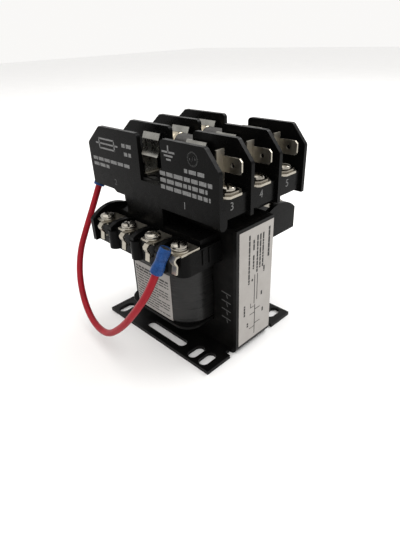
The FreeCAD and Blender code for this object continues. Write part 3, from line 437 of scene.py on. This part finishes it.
# the wire from the lower sleeve's mouth to the upper one's, in metres
JUMPER_ROUTE = [
    (0.0224, -0.0432, 0.0528),
    (0.0206, -0.0462, 0.0448),
    (0.0150, -0.0492, 0.0350),
    (0.0035, -0.0515, 0.0200),
    (-0.0110, -0.0525, 0.0086),
    (-0.0295, -0.0500, 0.0092),
    (-0.0435, -0.0450, 0.0215),
    (-0.0510, -0.0380, 0.0350),
    (-0.0523, -0.0300, 0.0480),
    (-0.0516, -0.0240, 0.0592),
    (-0.0505, -0.0200, 0.0683),
]
JUMPER_DIAMETER = 0.0033


def jumper_wire():
    curve = bpy.data.curves.new("jumper_cord", "CURVE")
    curve.dimensions = "3D"
    spline = curve.splines.new("NURBS")
    spline.points.add(len(JUMPER_ROUTE) - 1)
    for point, spot in zip(spline.points, JUMPER_ROUTE):
        point.co = (*spot, 1)
    spline.order_u = 3
    spline.use_endpoint_u = True
    spline.resolution_u = 24
    curve.bevel_depth = JUMPER_DIAMETER / 2
    curve.bevel_resolution = 8
    curve.use_fill_caps = True
    material = LOOKS["red_wire"][0]
    piece = add_piece("jumper_cord", curve, material, stands_for=["jumper_wire"])


# the sleeves, in millimetres. SLEEVE_OVERLAP is how far one reaches past its barrel, over the neck
# of its ring. The crimping tool presses in only what is further out than CRIMP_SKIN.
SLEEVE_OVERLAP = 0.8
SLEEVE_STEPS = 40
WIRE_BORE = 1.72
BARREL_BORE = 2.12
BARREL_START = 0.6
CRIMP_SKIN = 2.3
CRIMP_DEPTH = 0.22
CRIMP_PLACE = 5.2
CRIMP_REACH = 1.3


def crimp(radius, height, angle):
    """How far the crimping tool has pressed in a point of a sleeve, in metres."""
    if radius <= CRIMP_SKIN * MM:
        return 0
    away = (height / MM - CRIMP_PLACE) / CRIMP_REACH
    return CRIMP_DEPTH * MM * math.exp(-(away**2)) * math.cos(angle) ** 2


def sleeve(node, wire_end):
    """An insulating sleeve with a crimped waist and a flared mouth where the wire comes out."""
    mouth = Vector(wire_end)
    half = middle(node) - mouth
    length = 2 * half.length / MM + SLEEVE_OVERLAP
    profile = [
        (WIRE_BORE, 0.0),
        (2.55, 0.0),
        (2.80, 0.25),
        (2.78, 2.6),
        (2.55, 3.6),
        (2.42, 4.6),
        (2.38, 6.0),
        (2.50, 7.0),
        (2.58, 8.4),
        (2.52, length - 1.0),
        (CRIMP_SKIN, length - 0.35),
        (BARREL_BORE, length - 0.25),
        (BARREL_BORE, BARREL_START),
        (WIRE_BORE, BARREL_START),
    ]
    bm = bmesh.new()
    place = axis_place(mouth, half.normalized())
    lathe(bm, in_metres(profile), place, SLEEVE_STEPS, closed=True, dent=crimp)
    name = f"{node}_vinyl"
    add_piece(name, finished(bm, name), LOOKS["blue_sleeve"][0], stands_for=[node])


jumper_wire()
sleeve("lower_crimp_sleeve", JUMPER_ROUTE[0])
sleeve("upper_crimp_sleeve", JUMPER_ROUTE[-1])


# ---------------------------------------------------------------- screws and washers

# the screws and washers, in millimetres, degrees and radians. The shank starts SHANK_ROOT inside
# the head and narrows to TIP_SHARE of its radius. The slot's cutter stands SLOT_OVERCUT above the
# head.
SCREW_PITCH = 25.4 / 32
HEAD_HEIGHT = 2.2
HEAD_RADIUS = 3.5
HEAD_STEPS = 64
HEAD_EDGE = 0.09
HEAD_EDGE_ANGLE = 50
HEAD_PROFILE = [
    (0.01, -0.02),
    (2.2, 0.0),
    (2.6, 0.12),
    (3.2, 0.12),
    (3.42, 0.25),
    (HEAD_RADIUS, 0.6),
    (3.46, 1.0),
    (3.25, 1.35),
    (2.8, 1.68),
    (2.1, 1.92),
    (1.2, 2.08),
    (0.01, HEAD_HEIGHT - 0.03),
]
SLOT_WIDTH = 1.0
SLOT_DEPTH = 1.15
SLOT_OVERCUT = 1.0
SHANK_RADIUS = 1.74
SHANK_LENGTH = 7.0
SHANK_ROOT = 0.1
TIP_SHARE = 0.55
TIP_TAPER = 1.5
THREAD_DEPTH = 0.28
THREAD_STEPS = 24
RINGS_PER_PITCH = 6
SCREW_TURN = 0.9
SCREW_TURN_SEED = 7
WASHER_BORE = 1.81
WASHER_EDGE = 0.16


def slotted_head():
    """The head, its slot cut and its edges rounded, resting on z = 0."""
    head = bmesh.new()
    lathe(head, in_metres(HEAD_PROFILE), Matrix(), HEAD_STEPS)
    cutter = bmesh.new()
    block(
        cutter,
        Vector((0, 0, HEAD_HEIGHT - SLOT_DEPTH / 2 + SLOT_OVERCUT / 2)) * MM,
        (1, 0, 0),
        (0, 1, 0),
        3 * HEAD_RADIUS * MM,
        SLOT_WIDTH * MM,
        (SLOT_DEPTH + SLOT_OVERCUT) * MM,
    )
    solid = bpy.data.objects.new("screw_solid", finished(head, "screw_head"))
    tool = bpy.data.objects.new("screw_tool", finished(cutter, "screw_cutter", smooth=False))
    for item in (solid, tool):
        bpy.context.scene.collection.objects.link(item)
    cut = solid.modifiers.new("slot", "BOOLEAN")
    cut.operation = "DIFFERENCE"
    cut.object = tool
    cut.solver = "EXACT"
    edge = solid.modifiers.new("edge", "BEVEL")
    edge.width = HEAD_EDGE * MM
    edge.segments = 2
    edge.limit_method = "ANGLE"
    edge.angle_limit = math.radians(HEAD_EDGE_ANGLE)
    mesh = settled(solid)
    for item in (solid, tool):
        bpy.data.objects.remove(item)
    return mesh


def thread_rings():
    """Rings down the shank whose points rise and fall with the thread, narrower near the tip."""
    count = int(SHANK_LENGTH / SCREW_PITCH * RINGS_PER_PITCH)
    rings = []
    for level in range(count + 1):
        height = SHANK_ROOT - (SHANK_LENGTH + SHANK_ROOT) * level / count
        narrowing = min(1.0, TIP_SHARE + (height + SHANK_LENGTH) / TIP_TAPER)
        ring = []
        for step in range(THREAD_STEPS):
            turn = step / THREAD_STEPS
            phase = (height / SCREW_PITCH - turn) % 1.0
            ridge = abs(2 * phase - 1)
            radius = (SHANK_RADIUS - THREAD_DEPTH * (1 - ridge)) * narrowing
            ring.append(turned(radius, height, 2 * math.pi * turn) * MM)
        rings.append(ring)
    return rings


def screw_mesh():
    """A slotted binding-head screw with a rolled thread, its head resting on z = 0."""
    head = slotted_head()
    bm = bmesh.new()
    bm.from_mesh(head)
    bpy.data.meshes.remove(head)
    loops(bm, thread_rings())
    return finished(bm, "slotted_screw", angle=40)


def washer_mesh():
    low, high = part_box("front_washer_1")
    thick, radius = (high - low)[2], (high - low)[0] / 2
    edge = WASHER_EDGE * MM
    bore = WASHER_BORE * MM
    profile = [
        (bore, edge / 2),
        (bore + edge / 2, 0),
        (radius - edge, 0),
        (radius, edge),
        (radius, thick - edge),
        (radius - edge, thick),
        (bore + edge / 2, thick),
        (bore, thick - edge / 2),
    ]
    bm = bmesh.new()
    lathe(bm, profile, Matrix(), closed=True)
    return finished(bm, "round_washer")


def terminal_hardware():
    """Stands a finer screw or washer in for each plain one, each screw turned its own way."""
    screw, washer = screw_mesh(), washer_mesh()
    turns = random.Random(SCREW_TURN_SEED)
    for node, slot in sorted(SLOT_OF.items()):
        low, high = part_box(node)
        spot = middle(node)
        if slot == "terminal_screw":
            mesh = screw.copy()
            spot.z = high[2] - HEAD_HEIGHT * MM
            angle = turns.uniform(-SCREW_TURN, SCREW_TURN)
        elif slot == "washer_plate":
            mesh = washer.copy()
            spot.z = low[2]
            angle = 0
        else:
            continue
        mesh.transform(Matrix.Translation(spot) @ Matrix.Rotation(angle, 4, "Z"))
        add_piece(f"{node}_plated", mesh, ZINC, BODY_OF[node], stands_for=[node])


terminal_hardware()


# ---------------------------------------------------------------- coil tape

COIL_RADIUS = 13.0 * MM
CORNER_STEPS = 24

# the tape, in millimetres: it sags with three periods (each with its phase in radians), and each
# turn of it slants a little and stands proud of the one below
TAPE_THICK = 0.8
TAPE_LEVELS = 96
TAPE_SAGS = ((3.2, 0.0), (1.45, 1.3), (6.1, 2.1))
TAPE_SAG_DEPTH = 0.045
TAPE_TURN_HEIGHT = 3.9
TAPE_TURN_SLANT = 0.4
TAPE_TURN_STEP = 0.10
TAPE_ROLL = 0.3
TAPE_ROLL_REACH = 0.6


def coil_outline(half_x, half_y, radius):
    """Points round a rounded rectangle, each with its outward direction."""
    points = []
    for quarter in range(4):
        start = quarter * math.pi / 2
        centre = Vector(
            (
                (half_x - radius) * (1 if quarter in (0, 3) else -1),
                (half_y - radius) * (1 if quarter in (0, 1) else -1),
                0,
            )
        )
        for step in range(CORNER_STEPS + 1):
            angle = start + math.pi / 2 * step / CORNER_STEPS
            out = Vector((math.cos(angle), math.sin(angle), 0))
            points.append((centre + out * radius, out))
    return points


def tape_depth(height, round_way):
    """How far the tape's face lies inside its outline, at a height and an angle round the coil."""
    sag = 0.0
    for period, phase in TAPE_SAGS:
        slant = math.sin(round_way + phase)
        sag += math.sin(2 * math.pi * height / (period * MM) + phase + slant)
    lowest = len(TAPE_SAGS)
    slanted = height + TAPE_TURN_SLANT * MM * math.sin(round_way)
    up_the_turn = (slanted / (TAPE_TURN_HEIGHT * MM)) % 1.0
    return TAPE_SAG_DEPTH * MM * (sag + lowest) / 2 + TAPE_TURN_STEP * MM * up_the_turn


def wrapped_tape():
    """The coil's outer tape, with the steps and sags of its overlapping turns."""
    low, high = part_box("coil_outer_tape")
    outline = coil_outline(high[0], high[1], COIL_RADIUS)
    rings = []
    for level in range(TAPE_LEVELS + 1):
        height = low[2] + (high[2] - low[2]) * level / TAPE_LEVELS
        end = min(height - low[2], high[2] - height)
        roll = TAPE_ROLL * MM * max(0.0, 1 - end / (TAPE_ROLL_REACH * MM)) ** 2
        ring = []
        for index, (point, out) in enumerate(outline):
            depth = tape_depth(height, 2 * math.pi * index / len(outline))
            ring.append(point - out * (depth + roll) + Vector((0, 0, height)))
        rings.append(ring)
    for height in (high[2], low[2]):
        lift = Vector((0, 0, height))
        rings.append([point - out * TAPE_THICK * MM + lift for point, out in outline])
    bm = bmesh.new()
    loops(bm, rings, closed=True)
    mesh = finished(bm, "wrapped_tape", angle=60)
    add_piece("wrapped_tape", mesh, LOOKS["coil_tape"][0], stands_for=["coil_outer_tape"])


wrapped_tape()


# ---------------------------------------------------------------- fuses

# the fuses, in millimetres
CAP_LENGTH = 11.0
CAP_WALL = 0.45
CAP_END = 0.9
CAP_RIM = 0.15
NUB_LENGTH = 3.2
TUBE_WALL = 2.2
TUBE_INSET = 0.15
TUBE_GAP = 0.03
ON_AXIS = 0.01


def plain_cap(radius):
    """The cap with a flat end, as (radius, height) points from the end inwards."""
    return [
        (ON_AXIS, 0.25),
        (radius - 1.1, 0.25),
        (radius - 0.8, 0.05),
        (radius - 0.4, 0),
        (radius - 0.1, 0.2),
        (radius, 0.5),
        (radius, CAP_LENGTH - 1.9),
        (radius - 0.14, CAP_LENGTH - 1.6),
        (radius - 0.14, CAP_LENGTH - 1.2),
        (radius, CAP_LENGTH - 0.9),
        (radius - 0.02, CAP_LENGTH - CAP_RIM),
        (radius - 0.2, CAP_LENGTH),
        (radius - CAP_WALL, CAP_LENGTH),
        (radius - CAP_WALL, CAP_END),
        (ON_AXIS, CAP_END),
    ]


def nub_cap(radius):
    """The cap with a rejection nub: the plain cap's shoulder and groove, moved in by the nub."""
    nub = [
        (ON_AXIS, 0),
        (2.3, 0),
        (2.75, 0.15),
        (3.0, 0.5),
        (3.0, NUB_LENGTH - 0.2),
        (3.2, NUB_LENGTH),
    ]
    side = [
        (out, min(height + NUB_LENGTH, CAP_LENGTH - CAP_RIM))
        for out, height in plain_cap(radius)[3:10]
    ]
    inside = [
        (radius - 0.2, CAP_LENGTH),
        (radius - CAP_WALL, CAP_LENGTH),
        (radius - CAP_WALL, NUB_LENGTH + CAP_END),
        (ON_AXIS, NUB_LENGTH + CAP_END),
    ]
    return nub + side + inside


def laminate_tube(radius, length):
    """The tube between the caps, for a fuse so long over all."""
    start = CAP_LENGTH + TUBE_GAP
    end = length - CAP_LENGTH - TUBE_GAP
    return [
        (radius - TUBE_WALL, start),
        (radius - 0.3, start),
        (radius, start + 0.25),
        (radius, end - 0.25),
        (radius - 0.3, end),
        (radius - TUBE_WALL, end),
    ]


def fuse(body):
    caps = f"{body}_end_caps"
    low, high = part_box(caps)
    centre = middle(caps)
    radius = (high[2] - low[2]) / 2 / MM
    left_end = axis_place(Vector((low[0], centre.y, centre.z)), (1, 0, 0))
    right_end = axis_place(Vector((high[0], centre.y, centre.z)), (-1, 0, 0))
    bm = bmesh.new()
    lathe(bm, in_metres(plain_cap(radius)), left_end)
    lathe(bm, in_metres(nub_cap(radius)), right_end)
    name = f"{body}_rolled_caps"
    add_piece(name, finished(bm, name), CAP, body, stands_for=[caps])

    profile = laminate_tube(radius - TUBE_INSET, (high[0] - low[0]) / MM)
    bm = bmesh.new()
    lathe(bm, in_metres(profile), left_end, closed=True)
    name = f"{body}_laminate_tube"
    add_piece(name, finished(bm, name), LOOKS["fuse_tube"][0], body, stands_for=[f"{body}_tube"])


for fuse_body in ("fuse_2", "fuse_3"):
    fuse(fuse_body)


# ---------------------------------------------------------------- printed marks

PRINT_THICK = 0.03 * MM
X, Y, Z = (1, 0, 0), (0, 1, 0), (0, 0, 1)
FRONT, DOWN = (0, -1, 0), (0, 0, -1)
SYMBOL_LINE = 0.75


def words(bm, start, along, up, length, height, seed, gap=0.5):
    """A row of plain bars of uneven length, as a line of print looks from afar."""
    along = Vector(along)
    lengths = random.Random(seed)
    spot = 0.0
    while spot < length - 0.2 * height:
        bar = min(lengths.uniform(0.9, 3.2) * height, length - spot)
        centre = Vector(start) + along * (spot + bar / 2)
        block(bm, centre, along, up, bar, height, PRINT_THICK)
        spot += bar + gap * height


def stroke(bm, points, width_mm, out):
    """A line of even width through the points, flat on the surface that out points away from."""
    width = width_mm * MM
    for start, end in zip(points, points[1:]):
        along = Vector(end) - Vector(start)
        centre = (Vector(start) + Vector(end)) / 2
        reach = along.length + width * 0.6
        block(bm, centre, along, Vector(out).cross(along), reach, width, PRINT_THICK)


def numeral(name, digit, centre, across, height_mm, material):
    """A plain terminal number, upright on a wall of the fuse block."""
    text = bpy.data.curves.new(name, "FONT")
    text.body = str(digit)
    text.size = height_mm * MM * 1.4
    text.align_x = "CENTER"
    text.align_y = "CENTER"
    text.extrude = PRINT_THICK / 2
    holder = bpy.data.objects.new(name, text)
    bpy.context.scene.collection.objects.link(holder)
    mesh = settled(holder)
    bpy.data.objects.remove(holder)
    across, up = Vector(across), Vector(Z)
    turn = Matrix((across, up, across.cross(up))).transposed().to_4x4()
    mesh.transform(Matrix.Translation(centre) @ turn)
    add_piece(name, mesh, material, slot="block_moulding")


def add_print(bm, name, material, slot):
    add_piece(name, finished(bm, name, smooth=False), material, slot=slot)


# the front wall's marks, at (x, z) in millimetres
FUSE_LEFT, FUSE_RIGHT, FUSE_BASE, FUSE_TOP = -37.5, -25.5, 90.6, 95.0
FUSE_LEAD = 2.6
FUSE_LEAD_LEVEL = 92.8
EARTH_X = 12.3
EARTH_TOP = 98.2
EARTH_LEVEL = 95.8
EARTH_PITCH = 1.5
EARTH_HALVES = (3.6, 2.4, 1.2)
SOURCE_CENTRE = (26.2, 95.2)
SOURCE_RADIUS = 2.6
SOURCE_STEPS = 28
WAVE_HALF = 1.5
WAVE_HEIGHT = 0.9
WAVE_STEPS = 6

# start x and z, length, height, seed, gap
WALL_ROWS = (
    (-19.4, 94.0, 7.0, 1.7, 3, 0.5),
    (-18.2, 90.3, 5.2, 1.7, 4, 0.5),
    (-44.6, 85.0, 29.5, 1.6, 5, 0.5),
    (-44.6, 82.2, 13.0, 1.6, 6, 0.5),
    (6.2, 86.6, 31.0, 1.75, 11, 0.4),
    (6.2, 83.7, 27.5, 1.75, 12, 0.4),
    (6.2, 80.8, 29.0, 1.75, 13, 0.4),
    (21.2, 90.0, 11.0, 1.6, 14, 0.5),
)


def front_wall_print():
    """A fuse symbol, an earth, a source, two numbers and rows of bars on the front wall."""
    low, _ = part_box("fuse_block_body")
    face = low[1] - PRINT_THICK / 2

    def at(x_mm, z_mm):
        return Vector((x_mm * MM, face, z_mm * MM))

    bm = bmesh.new()
    corners = [
        at(FUSE_LEFT, FUSE_BASE),
        at(FUSE_RIGHT, FUSE_BASE),
        at(FUSE_RIGHT, FUSE_TOP),
        at(FUSE_LEFT, FUSE_TOP),
    ]
    stroke(bm, corners + corners[:1], SYMBOL_LINE, FRONT)
    leads = [
        at(FUSE_LEFT - FUSE_LEAD, FUSE_LEAD_LEVEL),
        at(FUSE_RIGHT + FUSE_LEAD, FUSE_LEAD_LEVEL),
    ]
    stroke(bm, leads, SYMBOL_LINE, FRONT)
    stroke(bm, [at(EARTH_X, EARTH_TOP), at(EARTH_X, EARTH_LEVEL)], SYMBOL_LINE, FRONT)
    for step, half in enumerate(EARTH_HALVES):
        level = EARTH_LEVEL - EARTH_PITCH * step
        stroke(bm, [at(EARTH_X - half, level), at(EARTH_X + half, level)], SYMBOL_LINE, FRONT)
    for x_mm, z_mm, length, height, seed, gap in WALL_ROWS:
        words(bm, at(x_mm, z_mm), X, Z, length * MM, height * MM, seed, gap)
    add_print(bm, "front_wall_print", PRINT, "block_moulding")

    bm = bmesh.new()
    centre = at(*SOURCE_CENTRE)
    circle = []
    for step in range(SOURCE_STEPS + 1):
        angle = 2 * math.pi * step / SOURCE_STEPS
        circle.append(centre + Vector((math.cos(angle), 0, math.sin(angle))) * SOURCE_RADIUS * MM)
    stroke(bm, circle, 0.6, FRONT)
    wave = []
    for step in range(-WAVE_STEPS, WAVE_STEPS + 1):
        rise = WAVE_HEIGHT * math.sin(math.pi * step / WAVE_STEPS)
        wave.append(centre + Vector((WAVE_HALF * step / WAVE_STEPS, 0, rise)) * MM)
    stroke(bm, wave, 0.5, FRONT)
    add_print(bm, "source_symbol", FAINT_PRINT, "block_moulding")
    numeral("mark_left", 2, at(-27.9, 75.3), X, 2.9, FAINT_PRINT)
    numeral("mark_right", 1, at(20.4, 75.2), X, 3.2, PRINT)


# the numbers on the fuse block's right end: the end's x, their level, how far forward of the
# terminal's middle they stand, and their height
END_X = 38.3
END_LEVEL = 76.8
END_FORWARD = 1.5
END_HEIGHT = 3.4


def floor_end_print():
    """A number on the fuse block's right end below each terminal."""
    for pole in (1, 2, 3):
        spot = middle(f"right_clamp_plate_{pole}")
        edge = END_X * MM + PRINT_THICK / 2
        centre = Vector((edge, spot.y - END_FORWARD * MM, END_LEVEL * MM))
        numeral(f"mark_end_{pole}", pole + 2, centre, Y, END_HEIGHT, PRINT)


# the stamped ticks: where the first one is, how far apart they are, and the two strokes of one, as
# its ends' (x, z) from there and its width
STAMP_COUNT = 4
STAMP_X = 30.0
STAMP_TOP = 32.0
STAMP_PITCH = 4.6
STAMP_STROKES = (
    ((0.0, 1.1), (5.2, 0.6), 0.55),
    ((3.0, 0.0), (3.4, -1.5), 0.5),
)


def core_stamps():
    """Light stamped ticks on the front of the core's right leg."""
    low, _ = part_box("core_e_laminations")
    face = low[1] - PRINT_THICK / 2
    bm = bmesh.new()
    for step in range(STAMP_COUNT):
        corner = Vector((STAMP_X * MM, face, (STAMP_TOP - STAMP_PITCH * step) * MM))
        for start, end, width in STAMP_STROKES:
            ends = [corner + Vector((x_mm, 0, z_mm)) * MM for x_mm, z_mm in (start, end)]
            stroke(bm, ends, width, FRONT)
    add_print(bm, "core_stamps", FAINT_PRINT, "core_varnish")


# the side label's rows, which run down it: start y and z, length, height, seed, gap
SIDE_ROWS = (
    (9.6, 60.5, 15.0, 1.25, 21, 0.15),
    (5.4, 59.0, 17.5, 1.0, 22, 0.3),
    (3.4, 59.0, 17.0, 1.0, 23, 0.3),
    (1.4, 59.0, 18.5, 1.0, 24, 0.3),
    (-1.2, 57.5, 5.0, 1.0, 25, 0.3),
    (-1.2, 50.0, 7.0, 1.0, 26, 0.3),
    (-4.2, 60.5, 24.5, 1.0, 27, 0.3),
    (-1.8, 38.0, 1.6, 1.0, 28, 0.3),
    (6.6, 41.8, 3.0, 1.0, 29, 0.3),
    (5.4, 28.5, 2.2, 1.0, 30, 0.3),
    (-7.0, 25.5, 6.0, 1.0, 31, 0.3),
    (-4.6, 14.5, 2.4, 1.0, 32, 0.3),
    (6.6, 18.5, 2.6, 1.0, 33, 0.3),
)

# its winding diagram: the width of a line and the (y, z) points it runs through
DIAGRAM_LINES = (
    (0.455, ((1.9, 39.5), (1.9, 25.5))),
    (0.455, ((0.0, 39.5), (0.0, 24.0))),
    (0.455, ((0.6, 23.0), (0.6, 6.0))),
    (0.35, ((-2.6, 24.8), (-2.6, 22.4), (0.0, 22.4))),
    (0.35, ((0.6, 20.2), (4.2, 20.2))),
    (0.35, ((-3.0, 18.6), (0.6, 18.6))),
    (0.35, ((0.6, 12.0), (4.6, 12.0))),
    (0.35, ((-3.2, 10.5), (0.6, 10.5))),
)


def side_label_print():
    """Rows of plain bars that run down the label, and a small two-winding diagram."""
    _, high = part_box("side_label")
    face = high[0] + PRINT_THICK / 2

    def at(y_mm, z_mm):
        return Vector((face, y_mm * MM, z_mm * MM))

    bm = bmesh.new()
    for y_mm, z_mm, length, height, seed, gap in SIDE_ROWS:
        words(bm, at(y_mm, z_mm), DOWN, Y, length * MM, height * MM, seed, gap)
    for width, points in DIAGRAM_LINES:
        stroke(bm, [at(y_mm, z_mm) for y_mm, z_mm in points], width, X)
    add_print(bm, "side_label_print", TEXT_INK, "side_label_paper")


# the coil label's rows, in millimetres: the first two are headings, and every fourth is short
LABEL_THICK = 0.12
LABEL_LEFT = -13.4
LABEL_RIGHT = 11.0
LABEL_SHORT = 8
LABEL_ROWS = 14
LABEL_TOP = 3.0
LABEL_PITCH = 1.55
LABEL_SEED = 41
HEADING_ROWS = 2
HEADING_HEIGHT = 0.9
ROW_HEIGHT = 0.55
WORD_LENGTHS = (1.2, 4.5)
WORD_GAP = 0.5
BEND_STEP = 0.8


def coil_label_print():
    """Rows of plain bars that follow the label round the coil's front."""
    _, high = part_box("coil_label")
    tape_low, tape_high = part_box("coil_outer_tape")
    flat = tape_high[0] - COIL_RADIUS
    radius = COIL_RADIUS + LABEL_THICK * MM + PRINT_THICK
    front = tape_low[1] + COIL_RADIUS

    def on_label(way, height, lift):
        """The point so far round the coil from its front's middle, lifted off the label."""
        side = 1 if way > 0 else -1
        over = max(0.0, abs(way) - flat) / radius
        reach = min(abs(way), flat) + (radius + lift) * math.sin(over)
        return Vector((side * reach, front - (radius + lift) * math.cos(over), height))

    def bar(start, end, height, tall):
        pieces = max(1, int((end - start) / (BEND_STEP * MM)))
        rings = []
        for step in range(pieces + 1):
            way = start + (end - start) * step / pieces
            base, top = height - tall / 2, height + tall / 2
            corners = ((base, 0), (base, PRINT_THICK), (top, PRINT_THICK), (top, 0))
            rings.append([on_label(way, level, lift) for level, lift in corners])
        loops(bm, rings)

    bm = bmesh.new()
    lengths = random.Random(LABEL_SEED)
    for row in range(LABEL_ROWS):
        height = high[2] - (LABEL_TOP + LABEL_PITCH * row) * MM
        tall = (HEADING_HEIGHT if row < HEADING_ROWS else ROW_HEIGHT) * MM
        spot = LABEL_LEFT * MM
        stop = (LABEL_RIGHT if row % 4 else LABEL_RIGHT - LABEL_SHORT) * MM
        while spot < stop:
            end = min(spot + lengths.uniform(*WORD_LENGTHS) * MM, stop)
            bar(spot, end, height, tall)
            spot = end + WORD_GAP * MM
    add_print(bm, "coil_label_print", TEXT_INK, "coil_label_paper")


front_wall_print()
floor_end_print()
core_stamps()
side_label_print()
coil_label_print()


# ---------------------------------------------------------------- CAD pieces that stay

FLAT_ANGLE = 1
EDGE_ANGLE = 30
EDGE_SEGMENTS = 2


def dress_frame():
    """Gives each CAD piece its material, merges its flat faces and rounds its edges a little."""
    for node, piece in NODES.items():
        material, edge = LOOKS[SLOT_OF[node]]
        for holder in piece.material_slots:
            holder.link = "OBJECT"
            holder.material = material
        if not edge:
            continue
        flat = piece.modifiers.new("flat_faces", "DECIMATE")
        flat.decimate_type = "DISSOLVE"
        flat.angle_limit = math.radians(FLAT_ANGLE)
        bevel = piece.modifiers.new("soft_edges", "BEVEL")
        bevel.width = edge * MM
        bevel.segments = EDGE_SEGMENTS
        bevel.limit_method = "ANGLE"
        bevel.angle_limit = math.radians(EDGE_ANGLE)


dress_frame()


# ---------------------------------------------------------------- floor and light

FLOOR_SIZE = 3.0
LIGHT_AIM = (0, 0, 0.05)


def stage():
    bm = bmesh.new()
    bmesh.ops.create_grid(bm, x_segments=1, y_segments=1, size=FLOOR_SIZE)
    floor = bpy.data.objects.new("floor", finished(bm, "floor", smooth=False))
    bpy.context.scene.collection.objects.link(floor)
    look = Look("floor_paper", Specular_IOR_Level=0.2)
    look.colour(look.noise(60), (0.3, grey(0.90)), (0.7, grey(0.92)))
    look.roughness(look.noise(40), 0.7, 0.8)
    paint(floor, look.material)


def soft_light(name, place, size, power, colour=(1, 1, 1)):
    data = bpy.data.lights.new(name, "AREA")
    data.shape = "RECTANGLE"
    data.size, data.size_y = size
    data.energy = power
    data.color = colour
    light = bpy.data.objects.new(name, data)
    light.location = place
    aim = Vector(LIGHT_AIM) - Vector(place)
    light.rotation_euler = aim.to_track_quat("-Z", "Y").to_euler()
    bpy.context.scene.collection.objects.link(light)


def lights():
    world = bpy.data.worlds.new("studio")
    world.use_nodes = True
    background = next(node for node in world.node_tree.nodes if node.type == "BACKGROUND")
    background.inputs["Color"].default_value = (1.0, 0.99, 0.975, 1)
    background.inputs["Strength"].default_value = 0.95
    bpy.context.scene.world = world
    soft_light("key", (-0.25, -0.25, 1.10), (1.2, 1.2), 5.0, (1.0, 0.98, 0.95))
    soft_light("fill", (0.80, -0.60, 0.90), (0.7, 0.7), 1.2, (1.0, 0.97, 0.93))
    soft_light("back", (0.15, 0.65, 0.7), (0.6, 0.3), 4.0)


stage()
lights()
